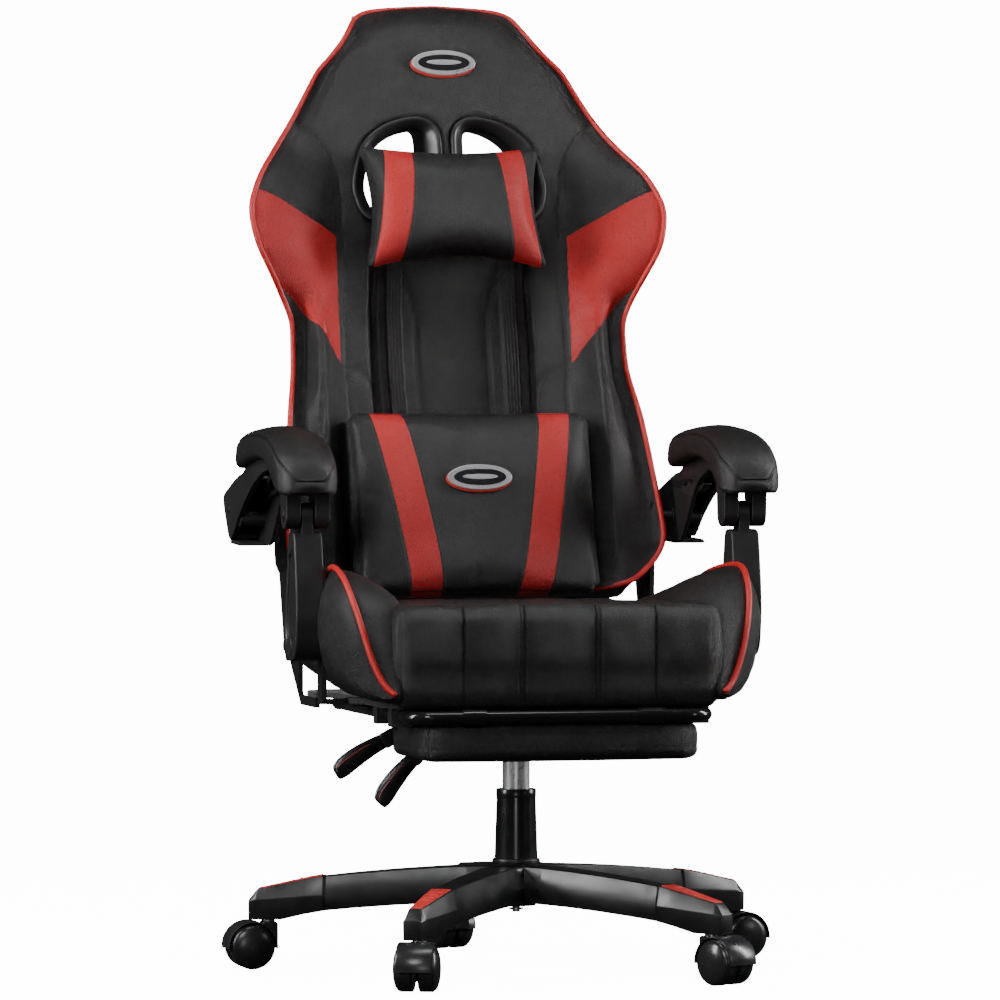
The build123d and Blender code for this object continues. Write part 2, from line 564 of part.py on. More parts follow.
def on_back(face, d_low, d_high):
    """Extrude a face drawn in the back's plane between two depths."""
    placed = Plane(origin=BACK_PLANE.origin + BACK_PLANE.z_dir * d_low,
                   x_dir=BACK_PLANE.x_dir, z_dir=BACK_PLANE.z_dir) * face
    return extrude(placed, amount=d_high - d_low, dir=BACK_PLANE.z_dir)


def symmetric_face(half_points):
    """Closed outline from its right half, listed bottom to top as (x, s)."""
    left = [(-x, s) for x, s in reversed(half_points) if x > 0]
    return make_face(Polyline(*(half_points + left), close=True))


def window_face(grow):
    """D-shaped window at +X: straight inner side, sloping shoulder; grown outward by grow."""
    points = [(WINDOW_INNER_X - grow, WINDOW_LOW_S - grow), (WINDOW_OUTER_X - 10 + grow, WINDOW_LOW_S - grow),
              (WINDOW_OUTER_X + grow, 528), (WINDOW_OUTER_X - 14 + grow, 586), (WINDOW_OUTER_X - 44, 612 + grow),
              (WINDOW_INNER_X + 32, WINDOW_HIGH_S + grow), (WINDOW_INNER_X - grow, 614 + grow)]
    return fillet_outline(make_face(Polyline(*points, close=True)), 12 + grow / 2)


def back_profile(front, rear):
    """Solid whose side view is given by (s, d) lists for its front and rear."""
    points = front + list(reversed(rear))
    plane = Plane(origin=BACK_PLANE.origin, x_dir=BACK_PLANE.y_dir, z_dir=(1, 0, 0))
    face = plane * make_face(Polyline(*[(s, d) for s, d in points], close=True))
    return extrude(face, amount=300, both=True)


def back_outline(inset):
    """Front-view outline of the backrest, moved inward by inset."""
    points = [(0, inset), (222 - inset, inset), (241 - inset, 30), (243 - inset, 60), (231 - inset, 210),
              (218 - inset, 300), (218 - inset, 345), (228 - inset, 390), (252 - inset, 412), (268 - inset, 446),
              (270 - inset, 486), (258 - inset, 526), (230 - inset, 576), (200 - inset, 622), (178 - inset, 672),
              (146 - inset, 726), (122 - inset, 762 - inset), (84 - inset, 779 - inset), (0, BACK_HEIGHT - inset)]
    return symmetric_face(points)


def build_back():
    front = [(0, 4), (40, 14), (215, 5), (300, -8), (360, -2), (400, 22), (440, 42), (490, 43), (545, 25),
             (600, 0), (640, -4), (755, -4), (BACK_HEIGHT + 2, -26)]
    middle = [(0, -88), (560, -88), (640, -52), (BACK_HEIGHT + 2, -48)]
    rear = [(0, -108), (200, -122), (400, -122), (560, -104), (640, -78), (BACK_HEIGHT + 2, -66)]
    cushion = on_back(back_outline(0), -200, 120) & back_profile(front, middle)
    shell = on_back(back_outline(3), -200, 120) & back_profile(middle, rear)
    low_recess = [(0, -1), (172, -1), (172, 300), (150, 420), (140, 470), (0, 470)]
    high_recess = [(0, 469), (140, 469), (150, 560), (120, 600), (0, 600)]
    cushion = cushion - on_back(symmetric_face(low_recess), RECESS_FLOOR, 120)
    cushion = cushion - on_back(symmetric_face(high_recess), 0, 120)
    shelf = [(0, 400), (152, 400), (152, 428), (140, 470), (0, 470)]
    ledge = on_back(symmetric_face(shelf), RECESS_FLOOR, 0)
    cushion = cushion + ledge
    opening = on_back(window_face(0), -200, 120)
    for hole in (opening, mirrored(opening)):
        cushion = cushion - hole
        shell = shell - hole
    sunk = back_bracket_plate() + arm_pivot_pin()
    for part in (sunk, mirrored(sunk)):
        cushion = cushion - part
        shell = shell - part
    save("back_cushion", cushion)
    save("back_shell", shell)
    bezel = on_back(window_face(0), -100, BEZEL_PROUD) - on_back(window_face(-BEZEL_WALL), -200, 120)
    bezel_rear = [(0, -104), (560, -104), (640, -80), (BACK_HEIGHT, -70)]
    bezel = bezel & back_profile([(0, BEZEL_PROUD), (BACK_HEIGHT, BEZEL_PROUD)], bezel_rear)
    for side, solid in sides(bezel):
        save(f"head_window_bezel_{side}", solid)


def back_bracket_plate():
    """Side plate sunk in the backrest's padding, from the recline hinge up past the armrest pivot."""
    h_y, h_z = RECLINE_PIVOT
    p_y, p_z = ARM_PIVOT
    outline = [(h_y - 20, h_z - 8), (h_y - 6, h_z - 20), (h_y + 12, h_z - 20), (h_y + 24, h_z - 4),
               (p_y + 74, p_z - 30), (p_y + 78, p_z + 50), (p_y + 40, p_z + 58), (p_y - 14, p_z + 20),
               (p_y - 18, p_z - 14)]
    return side_plate(outline, BACK_BRACKET_X, BACK_BRACKET_X + BRACKET_THICKNESS, corner=8)


def arm_pivot_pin():
    """Armrest pivot, from the sunken side plate out through the padding."""
    return rod_x(PIVOT_PIN_RADIUS, BACK_BRACKET_X, ARM_X + 16, *ARM_PIVOT)


def build_back_brackets():
    reach = (BACK_BRACKET_X - 1, BACK_BRACKET_X + BRACKET_THICKNESS + 1)
    plate = back_bracket_plate()
    plate = plate - rod_x(PIVOT_PIN_RADIUS + RUNNING_FIT, *reach, *RECLINE_PIVOT)
    plate = plate - rod_x(PIVOT_PIN_RADIUS, *reach, *ARM_PIVOT)
    pin = arm_pivot_pin()
    for side, solid in sides(plate):
        save(f"back_bracket_{side}", solid)
    save("arm_pivot_pins", pin, mirrored(pin))


def pillow_face(half, heights):
    """Rounded rectangle centred on the back, between two heights."""
    low, high = heights
    corners = Polyline((-half, low), (half, low), (half, high), (-half, high), close=True)
    return fillet_outline(make_face(corners), 16)


def build_pillows():
    head = on_back(pillow_face(HEAD_PILLOW_HALF, HEAD_PILLOW_S), *HEAD_PILLOW_D)
    save("head_pillow", fillet(head.edges().group_by(Axis.Y)[0], 14))
    save("lumbar_pillow", on_back(pillow_face(LUMBAR_HALF, LUMBAR_S), *LUMBAR_D))


os.makedirs("parts", exist_ok=True)
build_base()
build_casters()
build_gas_lift()
build_mechanism()
build_levers()
build_seat()
build_seat_brackets()
build_footrest()
build_arms()
build_back()
build_back_brackets()
build_pillows()
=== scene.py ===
import math

import bmesh
import bpy
import numpy as np
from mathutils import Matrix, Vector
from mathutils.bvhtree import BVHTree


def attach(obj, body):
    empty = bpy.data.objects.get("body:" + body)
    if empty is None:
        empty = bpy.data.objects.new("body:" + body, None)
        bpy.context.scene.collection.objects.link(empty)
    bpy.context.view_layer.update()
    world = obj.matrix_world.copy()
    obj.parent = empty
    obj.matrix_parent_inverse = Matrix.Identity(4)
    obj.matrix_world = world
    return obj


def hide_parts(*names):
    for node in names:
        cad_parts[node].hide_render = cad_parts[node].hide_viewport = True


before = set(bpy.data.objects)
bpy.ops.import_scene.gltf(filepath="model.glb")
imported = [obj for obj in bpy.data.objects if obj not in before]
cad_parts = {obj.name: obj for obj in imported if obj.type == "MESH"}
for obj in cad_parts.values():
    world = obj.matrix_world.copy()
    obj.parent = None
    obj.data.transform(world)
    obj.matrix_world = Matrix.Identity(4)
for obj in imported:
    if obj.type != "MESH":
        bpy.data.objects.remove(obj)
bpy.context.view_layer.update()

# Gaming chair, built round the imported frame. Metres, +Z up, the sitter faces -Y, right is at +X.
SIDES = (("left", -1), ("right", 1))
MM = 0.001

# The backrest's leaning plane: x across, s up along it, d forward of it, all in millimetres
LEAN = math.radians(17)
BACK_FOOT = np.array([0.0, 200.0, 470.0])
BACK_UP = np.array([0.0, math.sin(LEAN), math.cos(LEAN)])
BACK_FORWARD = np.array([0.0, -math.cos(LEAN), math.sin(LEAN)])


# ---------------------------------------------------------------- curves and small maths


def curve(*points):
    """Smooth function through (t, value) points that keeps to their rises and falls."""
    t, v = np.array(points, float).T
    gap = np.diff(t)
    slope = np.diff(v) / gap
    tangent = np.concatenate([slope[:1], np.zeros(len(t) - 2), slope[-1:]])
    for i in range(1, len(t) - 1):
        if slope[i - 1] * slope[i] > 0:
            tangent[i] = 2 * slope[i - 1] * slope[i] / (slope[i - 1] + slope[i])

    def at(x):
        x = np.clip(x, t[0], t[-1])
        i = np.clip(np.searchsorted(t, x) - 1, 0, len(gap) - 1)
        u = (x - t[i]) / gap[i]
        rise = u * u * (3 - 2 * u)
        return (v[i] * (1 - rise) + v[i + 1] * rise
                + gap[i] * (tangent[i] * u * (1 - u) ** 2 - tangent[i + 1] * u * u * (1 - u)))

    return at


def step(low, high, x):
    """0 below low, 1 above high, smooth between."""
    u = np.clip((x - low) / (high - low), 0, 1)
    return u * u * (3 - 2 * u)


def ripple(points, wavelength, seed, stretch=(1, 1, 1)):
    """Smooth pseudo-random field, about -1 to 1, over points in millimetres."""
    rng = np.random.default_rng(seed)
    total = np.zeros(len(points))
    for _ in range(7):
        direction = rng.normal(size=3)
        direction /= np.linalg.norm(direction)
        wave = 2 * math.pi / (wavelength * rng.uniform(0.7, 1.5))
        total += np.sin(points @ (direction * np.array(stretch)) * wave + rng.uniform(0, 2 * math.pi))
    return total / 3.5


def resample(points, count, closed=False):
    """Evenly spaced points along a polyline."""
    points = np.array(points, float)
    if closed:
        points = np.vstack([points, points[:1]])
    run = np.concatenate([[0], np.cumsum(np.linalg.norm(np.diff(points, axis=0), axis=1))])
    at = np.linspace(0, run[-1], count + 1 if closed else count)
    even = np.stack([np.interp(at, run, points[:, k]) for k in range(points.shape[1])], -1)
    return even[:-1] if closed else even


def smooth_line(points, count, closed=False, rounds=3):
    """Polyline whose corners are cut round, resampled evenly."""
    line = resample(points, count, closed)
    for _ in range(rounds * 4):
        if closed:
            line = (np.roll(line, 1, 0) + 2 * line + np.roll(line, -1, 0)) / 4
        else:
            line[1:-1] = (line[:-2] + 2 * line[1:-1] + line[2:]) / 4
    return line


def smooth_polygon(points, count):
    """Closed outline with its corners slightly rounded."""
    return smooth_line(points, count, closed=True, rounds=1)


def line_distance(x, y, line):
    """Distance of every (x, y) from a 2D polyline."""
    best = np.full(np.shape(x), 1e9)
    for (ax, ay), (bx, by) in zip(line[:-1], line[1:]):
        length = (bx - ax) ** 2 + (by - ay) ** 2 + 1e-12
        t = np.clip(((x - ax) * (bx - ax) + (y - ay) * (by - ay)) / length, 0, 1)
        best = np.minimum(best, np.hypot(x - ax - t * (bx - ax), y - ay - t * (by - ay)))
    return best


def inside_distance(x, y, outline):
    """Signed distance to a closed outline, positive inside."""
    loop = np.vstack([outline, outline[:1]])
    inside = np.zeros(np.shape(x), bool)
    for (ax, ay), (bx, by) in zip(loop[:-1], loop[1:]):
        crosses = (ay > y) != (by > y)
        inside ^= crosses & (x < (bx - ax) * (y - ay) / (by - ay + 1e-12) + ax)
    distance = line_distance(x, y, loop)
    return np.where(inside, distance, -distance)


def on_back(x, s, d):
    """Points of the row frame, in millimetres, from the backrest's own coordinates."""
    x, s, d = np.broadcast_arrays(np.asarray(x, float), s, d)
    point = BACK_FOOT + s[..., None] * BACK_UP + d[..., None] * BACK_FORWARD
    return point + x[..., None] * np.array([1.0, 0, 0])


# ---------------------------------------------------------------- meshes


def box_surface(us, vs, ws):
    """Surface grid of a box over the given parameter values: parameters (n, 3) and quads."""
    shape = (len(us), len(vs), len(ws))
    shell = np.ones(shape, bool)
    shell[1:-1, 1:-1, 1:-1] = False
    ids = np.full(shape, -1)
    ids[shell] = np.arange(shell.sum())
    grid = np.stack(np.meshgrid(us, vs, ws, indexing="ij"), -1)[shell]
    sheets = ((ids[0], True), (ids[-1], False), (ids[:, 0], False), (ids[:, -1], True),
              (ids[:, :, 0], True), (ids[:, :, -1], False))
    faces = []
    for sheet, flip in sheets:
        quads = np.stack([sheet[:-1, :-1], sheet[1:, :-1], sheet[1:, 1:], sheet[:-1, 1:]], -1).reshape(-1, 4)
        faces.append(quads[:, ::-1] if flip else quads)
    return grid, np.concatenate(faces)


def spaced(count, ease=0.0):
    """Values from -1 to 1; ease crowds them towards the ends."""
    t = np.linspace(-1, 1, count)
    return (1 - ease) * t + ease * np.sin(t * math.pi / 2)


def soft_shape(grid, half, radius):
    """Box parameters to a box of half-sizes half with rounded edges, about the origin."""
    half = np.array(half, float)
    radius = min(radius, half.min() * 0.98)
    point = grid * half
    core = np.clip(point, radius - half, half - radius)
    out = point - core
    length = np.linalg.norm(out, axis=1, keepdims=True)
    return core + np.where(length > 1e-9, out / np.maximum(length, 1e-9) * radius, 0)


def ring_faces(rings, around, closed=False):
    """Quads between rings of points. Open lofts get two end caps; closed ones join last to first."""
    faces = []
    for i in range(rings if closed else rings - 1):
        a, b = i * around, (i + 1) % rings * around
        faces += [[a + j, a + (j + 1) % around, b + (j + 1) % around, b + j] for j in range(around)]
    if not closed:
        faces.append(list(range(around))[::-1])
        faces.append([(rings - 1) * around + j for j in range(around)])
    return faces


def make_object(name, vertices, faces, smooth=True):
    """Mesh object from millimetre vertices."""
    mesh = bpy.data.meshes.new(name)
    mesh.from_pydata((np.asarray(vertices, float) * MM).tolist(), [], np.asarray(faces).tolist()
                     if isinstance(faces, np.ndarray) else faces)
    mesh.polygons.foreach_set("use_smooth", [smooth] * len(mesh.polygons))
    mesh.update()
    obj = bpy.data.objects.new(name, mesh)
    bpy.context.scene.collection.objects.link(obj)
    return obj


def tidy_normals(obj):
    """Point every face outward."""
    work = bmesh.new()
    work.from_mesh(obj.data)
    bmesh.ops.recalc_face_normals(work, faces=work.faces)
    work.to_mesh(obj.data)
    work.free()


def positions(obj):
    """Vertex positions in millimetres."""
    co = np.zeros(len(obj.data.vertices) * 3)
    obj.data.vertices.foreach_get("co", co)
    return co.reshape(-1, 3) / MM


def set_positions(obj, points):
    obj.data.vertices.foreach_set("co", (points * MM).ravel())
    obj.data.update()


def add_field(obj, name, values):
    """Per-vertex number that a material reads."""
    layer = obj.data.attributes.new(name, "FLOAT", "POINT")
    layer.data.foreach_set("value", np.asarray(values, np.float32))


def bake_modifiers(obj):
    """Replace the mesh by its modified version."""
    graph = bpy.context.evaluated_depsgraph_get()
    mesh = bpy.data.meshes.new_from_object(obj.evaluated_get(graph))
    old = obj.data
    obj.modifiers.clear()
    obj.data = mesh
    bpy.data.meshes.remove(old)
    return obj


def bevelled_prism(name, outline, low, high, bevel, axis=0, segments=3):
    """Prism over a 2D outline, from low to high along an axis, with rounded rims."""
    outline = np.asarray(outline, float)
    count = len(outline)
    others = [k for k in range(3) if k != axis]
    vertices = np.zeros((2 * count, 3))
    for k, value in enumerate((low, high)):
        vertices[k * count:(k + 1) * count, others] = outline
        vertices[k * count:(k + 1) * count, axis] = value
    faces = [list(range(count)), list(range(2 * count - 1, count - 1, -1))]
    faces += [[k, (k + 1) % count, (k + 1) % count + count, k + count] for k in range(count)]
    obj = make_object(name, vertices, faces)
    tidy_normals(obj)
    round_edges(obj, bevel, segments, 40)
    return obj


def carve(obj, other, operation="DIFFERENCE"):
    """Cut another object out of this one, or join it on with UNION; the other is used up."""
    change = obj.modifiers.new("carve", "BOOLEAN")
    change.operation = operation
    change.solver = "EXACT"
    change.object = other
    bake_modifiers(obj)
    bpy.data.objects.remove(other)


def smooth_shading(obj, sharp_angle):
    """Smooth every face, but keep edges above the angle sharp."""
    obj.data.polygons.foreach_set("use_smooth", [True] * len(obj.data.polygons))
    obj.data.set_sharp_from_angle(angle=math.radians(sharp_angle))


def subdivide(obj, levels):
    modifier = obj.modifiers.new("smooth", "SUBSURF")
    modifier.levels = levels
    modifier.render_levels = levels
    bake_modifiers(obj)


def round_edges(obj, width, segments=3, angle=30):
    """Bevel the sharp edges of a mesh and keep its flat faces flat."""
    bevel = obj.modifiers.new("round", "BEVEL")
    bevel.width = width * MM
    bevel.segments = segments
    bevel.limit_method = "ANGLE"
    bevel.angle_limit = math.radians(angle)
    bevel.harden_normals = True
    bake_modifiers(obj)


def join(name, objects):
    """One mesh object from several, with their places and materials kept."""
    work = bmesh.new()
    materials = []
    for obj in objects:
        start = len(work.faces)
        slots = [slot.material for slot in obj.material_slots]
        mesh = obj.data.copy()
        mesh.transform(obj.matrix_world)
        work.from_mesh(mesh)
        work.faces.ensure_lookup_table()
        for material in slots:
            if material not in materials:
                materials.append(material)
        for face in work.faces[start:]:
            if slots:
                face.material_index = materials.index(slots[min(face.material_index, len(slots) - 1)])
        bpy.data.meshes.remove(mesh)
    mesh = bpy.data.meshes.new(name)
    work.to_mesh(mesh)
    work.free()
    for obj in objects:
        bpy.data.objects.remove(obj)
    for material in materials:
        mesh.materials.append(material)
    whole = bpy.data.objects.new(name, mesh)
    bpy.context.scene.collection.objects.link(whole)
    return whole


def tube(name, path, radius, sides=12, closed=False, flat=1.0):
    """Round tube along a path in millimetres; flat squeezes it into a strap-like section."""
    path = np.asarray(path, float)
    count = len(path)
    ahead = np.roll(path, -1, 0) - path
    behind = path - np.roll(path, 1, 0)
    if not closed:
        ahead[-1] = behind[-1]
        behind[0] = ahead[0]
    along = ahead + behind
    along /= np.linalg.norm(along, axis=1, keepdims=True)
    normal = np.cross(along[0], [0.3, 0.1, 1.0])
    rings = []
    for k in range(count):
        normal = normal - along[k] * (normal @ along[k])
        normal /= np.linalg.norm(normal)
        across = np.cross(along[k], normal)
        angle = np.linspace(0, 2 * math.pi, sides, endpoint=False)[:, None]
        rings.append(path[k] + radius * (np.cos(angle) * normal + flat * np.sin(angle) * across))
    vertices = np.concatenate(rings)
    obj = make_object(name, vertices, ring_faces(count, sides, closed))
    tidy_normals(obj)
    return obj


def stitch_row(name, path, normals, pitch=5.0, length=3.4, radius=0.45):
    """A row of short raised threads that dip at both ends, along a path on a surface."""
    path = np.asarray(path, float)
    normals = np.asarray(normals, float)
    run = np.concatenate([[0], np.cumsum(np.linalg.norm(np.diff(path, axis=0), axis=1))])
    centres = np.arange(pitch / 2, run[-1] - pitch / 2, pitch)
    spans = np.linspace(-0.5, 0.5, 5)
    angle = np.linspace(0, 2 * math.pi, 6, endpoint=False)
    vertices = []
    faces = []
    for centre in centres:
        base = len(vertices)
        at = centre + spans * length
        spine = np.stack([np.interp(at, run, path[:, k]) for k in range(3)], -1)
        up = np.array([np.interp(centre, run, normals[:, k]) for k in range(3)])
        up /= np.linalg.norm(up)
        along = spine[-1] - spine[0]
        along /= np.linalg.norm(along)
        across = np.cross(along, up)
        for k, span in enumerate(spans):
            thick = radius * math.sqrt(max(1 - (2 * span) ** 2 * 0.85, 0.05))
            lift = radius * (0.75 - 3.2 * span * span)
            for a in angle:
                vertices.append(spine[k] + up * (lift + thick * math.sin(a)) + across * thick * math.cos(a))
        for k in range(4):
            for i in range(6):
                j = (i + 1) % 6
                faces.append([base + k * 6 + i, base + k * 6 + j, base + k * 6 + 6 + j, base + k * 6 + 6 + i])
        faces.append([base + i for i in range(6)][::-1])
        faces.append([base + 24 + i for i in range(6)])
    return make_object(name, vertices, faces)


# ---------------------------------------------------------------- backrest measures

# Half width, piping depth and centre depth along the backrest, against s
BACK_HALF = curve((0, 196), (8, 207), (20, 220), (30, 231), (42, 239), (60, 244), (120, 239), (217, 229),
                  (300, 217), (345, 216), (376, 227), (409, 246), (444, 264), (483, 270), (526, 257),
                  (577, 227), (621, 199), (663, 175), (722, 142), (750, 124), (784, 103))
PIPING_DEPTH = curve((0, 0), (40, 7), (55, 14), (120, 12), (217, 4), (300, -9), (345, -4), (376, 5),
                     (409, 27), (444, 41), (483, 43), (526, 35), (551, 24), (577, 8), (600, -2), (640, -8),
                     (700, -5), (750, -8), (784, -24))
CENTRE_DEPTH = curve((0, -52), (60, -48), (240, -48), (370, -42), (430, -28), (470, -9), (520, -2), (600, 0),
                     (640, 4), (690, 12), (740, 8), (770, -6), (784, -22))
SHOULDER_DEPTH = curve((0, -48), (250, -45), (300, -40), (340, -35), (440, -20), (500, -8), (560, -2),
                       (640, 2), (700, 8), (750, 0), (784, -24))
ROLL_DEPTH = curve((0, -8), (60, 4), (200, 12), (340, 10), (380, 6), (420, 4), (470, 10), (520, 12), (560, 6),
                   (620, 0), (700, 4), (784, -24))
VALLEY_DROP = curve((0, 4), (60, 7), (220, 8), (345, 7), (400, 3), (483, 1), (560, 1), (640, 1), (784, 0))
REAR_DEPTH = curve((0, -104), (60, -118), (200, -122), (400, -122), (480, -114), (560, -100), (640, -80),
                   (740, -72), (784, -66))
TOP_EDGE = curve((0, 783), (84, 777), (104, 769), (122, 757), (150, 740))
TOP_START = 690
BACK_TOP = 784
CENTRE_SPAN = 100
SPAN = 250


def across_back(t, s):
    """X of column t in a row: columns within CENTRE_SPAN stay upright, the rest stretch to the edge."""
    half = BACK_HALF(s)
    centre = np.minimum(CENTRE_SPAN, 0.8 * half)
    outer = centre + (np.abs(t) - CENTRE_SPAN) / (SPAN - CENTRE_SPAN) * (half - centre)
    inner = np.abs(t) * centre / CENTRE_SPAN
    return np.sign(t) * np.where(np.abs(t) <= CENTRE_SPAN, inner, outer)


def front_row(s):
    """Depth of the front surface across one row, as a function of |X|."""
    half = float(BACK_HALF(s))
    piping = float(PIPING_DEPTH(s))
    centre = float(CENTRE_DEPTH(s))
    shoulder = float(SHOULDER_DEPTH(s))
    roll = float(ROLL_DEPTH(s))
    valley = piping - float(VALLEY_DROP(s))
    inner = min(112, 0.5 * half)
    seam = min(152, 0.7 * half)
    peak = min(186, 0.85 * half)
    return curve((0, centre), (inner * 0.6, centre), (inner - 2, centre + 0.2 * (shoulder - centre)),
                 (seam, shoulder + 0.2 * (roll - shoulder)), (peak, roll), (half - 13, valley),
                 (half, piping))


def front_depth(x, s):
    """Depth of the front surface at points (x, s)."""
    x, s = np.broadcast_arrays(np.abs(np.asarray(x, float)), np.asarray(s, float))
    rows = np.linspace(0, BACK_TOP, 197)
    grid_x = np.linspace(0, 280, 281)
    table = np.stack([front_row(row)(grid_x) for row in rows])
    at_s = np.clip(s / BACK_TOP * (len(rows) - 1), 0, len(rows) - 1.001)
    at_x = np.clip(x, 0, 279.999)
    i, j = at_s.astype(int), at_x.astype(int)
    a, b = at_s - i, at_x - j
    return ((table[i, j] * (1 - a) + table[i + 1, j] * a) * (1 - b)
            + (table[i, j + 1] * (1 - a) + table[i + 1, j + 1] * a) * b)


# ---------------------------------------------------------------- materials


class Nodes:
    """Short-hand for building one material's node tree."""

    def __init__(self, name, **sockets):
        self.material = bpy.data.materials.new(name)
        self.material.use_nodes = True
        self.tree = self.material.node_tree
        self.shader = self.tree.nodes["Principled BSDF"]
        for socket, value in sockets.items():
            self.shader.inputs[socket.replace("_", " ")].default_value = value
        self.place = self.add("ShaderNodeTexCoord").outputs["Object"]

    def add(self, kind, **settings):
        node = self.tree.nodes.new(kind)
        for key, value in settings.items():
            setattr(node, key, value)
        return node

    def link(self, source, target):
        self.tree.links.new(source, target)

    def noise(self, scale, detail=2.0, roughness=0.5, place=None):
        node = self.add("ShaderNodeTexNoise")
        node.inputs["Scale"].default_value = scale
        node.inputs["Detail"].default_value = detail
        node.inputs["Roughness"].default_value = roughness
        self.link(place or self.place, node.inputs["Vector"])
        return node.outputs["Fac"]

    def cells(self, scale, place=None):
        """Distance to the edge of irregular cells."""
        node = self.add("ShaderNodeTexVoronoi", feature="DISTANCE_TO_EDGE")
        node.inputs["Scale"].default_value = scale
        self.link(place or self.place, node.inputs["Vector"])
        return node.outputs["Distance"]

    def stretched(self, x, y, z):
        node = self.add("ShaderNodeMapping")
        node.inputs["Scale"].default_value = (x, y, z)
        self.link(self.place, node.inputs["Vector"])
        return node.outputs["Vector"]

    def warped(self, scale, amount):
        """Coordinates pushed about by noise."""
        noise = self.add("ShaderNodeTexNoise")
        noise.inputs["Scale"].default_value = scale
        self.link(self.place, noise.inputs["Vector"])
        push = self.add("ShaderNodeVectorMath", operation="MULTIPLY_ADD")
        push.inputs[1].default_value = (amount, amount, amount)
        self.link(noise.outputs["Color"], push.inputs[0])
        self.link(self.place, push.inputs[2])
        return push.outputs["Vector"]

    def field(self, name):
        return self.add("ShaderNodeAttribute", attribute_name=name).outputs["Fac"]

    def span(self, source, low, high, to_low=0.0, to_high=1.0, smooth=False):
        node = self.add("ShaderNodeMapRange")
        node.interpolation_type = "SMOOTHSTEP" if smooth else "LINEAR"
        for socket, value in zip(("From Min", "From Max", "To Min", "To Max"), (low, high, to_low, to_high)):
            node.inputs[socket].default_value = value
        self.link(source, node.inputs["Value"])
        return node.outputs["Result"]

    def maths(self, operation, a, b=None):
        node = self.add("ShaderNodeMath", operation=operation)
        for socket, value in zip(node.inputs, (a, b)):
            if isinstance(value, (int, float)):
                socket.default_value = value
            elif value is not None:
                self.link(value, socket)
        return node.outputs[0]

    def mix(self, factor, a, b):
        """Colour a where factor is 0, colour b where it is 1."""
        node = self.add("ShaderNodeMix", data_type="RGBA")
        if isinstance(factor, (int, float)):
            node.inputs[0].default_value = factor
        else:
            self.link(factor, node.inputs[0])
        for socket, value in ((node.inputs[6], a), (node.inputs[7], b)):
            if isinstance(value, tuple):
                socket.default_value = (*value, 1.0)
            else:
                self.link(value, socket)
        return node.outputs[2]

    def bump(self, height, strength, distance, normal=None):
        node = self.add("ShaderNodeBump")
        node.inputs["Strength"].default_value = strength
        node.inputs["Distance"].default_value = distance
        self.link(height, node.inputs["Height"])
        if normal is not None:
            self.link(normal, node.inputs["Normal"])
        return node.outputs["Normal"]

    def sharp_edges(self, low=0.52, high=0.62):
        """1 on sharp convex edges, 0 elsewhere."""
        point = self.add("ShaderNodeNewGeometry").outputs["Pointiness"]
        return self.span(point, low, high)

    def finish(self, colour, roughness, normal):
        self.link(colour, self.shader.inputs["Base Color"])
        self.link(roughness, self.shader.inputs["Roughness"])
        self.link(normal, self.shader.inputs["Normal"])
        return self.material


BLACK_HIDE = ((0.0045, 0.0045, 0.0048), (0.0085, 0.0085, 0.009))
RED_HIDE = ((0.50, 0.010, 0.010), (0.62, 0.018, 0.017))


def leather(name, tones, second=None, roughness=0.38, grain=1.0, bump=1.0, seams=True):
    """Pebbled coated leather with painted shade in its grain's crevices. Where the vertex field "panel" is
    above 0 it takes the second pair of tones, and where "seam" is near 0 it sinks into a crease with painted
    shade."""
    m = Nodes(name, Specular_IOR_Level=0.5, Coat_Weight=0.06, Coat_Roughness=0.3)
    place = m.warped(160, 0.0022)
    pebbles = m.cells(330 * grain, place=place)
    fine = m.cells(1100 * grain, place=place)
    tone = m.span(m.noise(7, 3), 0.35, 0.65)
    colour = m.mix(tone, *tones)
    if second:
        red = m.mix(tone, *second)
        colour = m.mix(m.span(m.field("panel"), -0.12, 0.12), colour, red)
    # Painted shade: the crevices of the pebbled grain are mixed towards near-black.
    crease = m.span(pebbles, 0.0, 0.11, 1.0, 0.0)
    colour = m.mix(m.maths("MULTIPLY", crease, 0.35), colour, (0.004, 0.003, 0.003))
    seam = m.field("seam") if seams else None
    if seams:
        # Painted shade: within about 1.5 mm of a seam or fold line the colour sinks towards near-black.
        colour = m.mix(m.span(seam, 0.25, 1.5, 0.85, 0.0, smooth=True), colour, (0.002, 0.002, 0.002))
    fine_height = m.maths("MULTIPLY", m.span(fine, 0, 0.2), 0.35)
    height = m.maths("ADD", m.span(pebbles, 0.0, 0.16, smooth=True), fine_height)
    normal = m.bump(height, 0.7 * bump, 0.0007)
    normal = m.bump(m.noise(55, 3), 0.10, 0.003, normal)
    if seams:
        normal = m.bump(m.span(seam, 0.0, 2.6, smooth=True), 0.8, 0.0009, normal)
    rough = m.maths("ADD", m.span(m.noise(18, 3), 0.3, 0.7, roughness - 0.05, roughness + 0.05),
                    m.maths("MULTIPLY", crease, 0.12))
    return m.finish(colour, rough, normal)


def plastic(name, dark, light, roughness=0.42, texture=1400, bump=0.12, edge_paleness=0.25):
    """Moulded plastic with a fine eroded texture and sharp edges painted paler in patches."""
    m = Nodes(name, Specular_IOR_Level=0.5)
    colour = m.mix(m.span(m.noise(9, 2), 0.35, 0.65), dark, light)
    # Sharp convex edges are painted paler in patches.
    pale_edges = m.maths("MULTIPLY", m.sharp_edges(), m.span(m.noise(60, 3), 0.35, 0.7, 0.2, edge_paleness * 2))
    colour = m.mix(pale_edges, colour, tuple(min(1.0, value * 2.2 + 0.02) for value in light))
    grain = m.noise(texture, 2)
    normal = m.bump(grain, bump, 0.0003)
    normal = m.bump(m.noise(30, 1), 0.03, 0.002, normal)
    rough = m.span(m.noise(40, 3), 0.3, 0.7, roughness - 0.05, roughness + 0.06)
    return m.finish(colour, rough, normal)


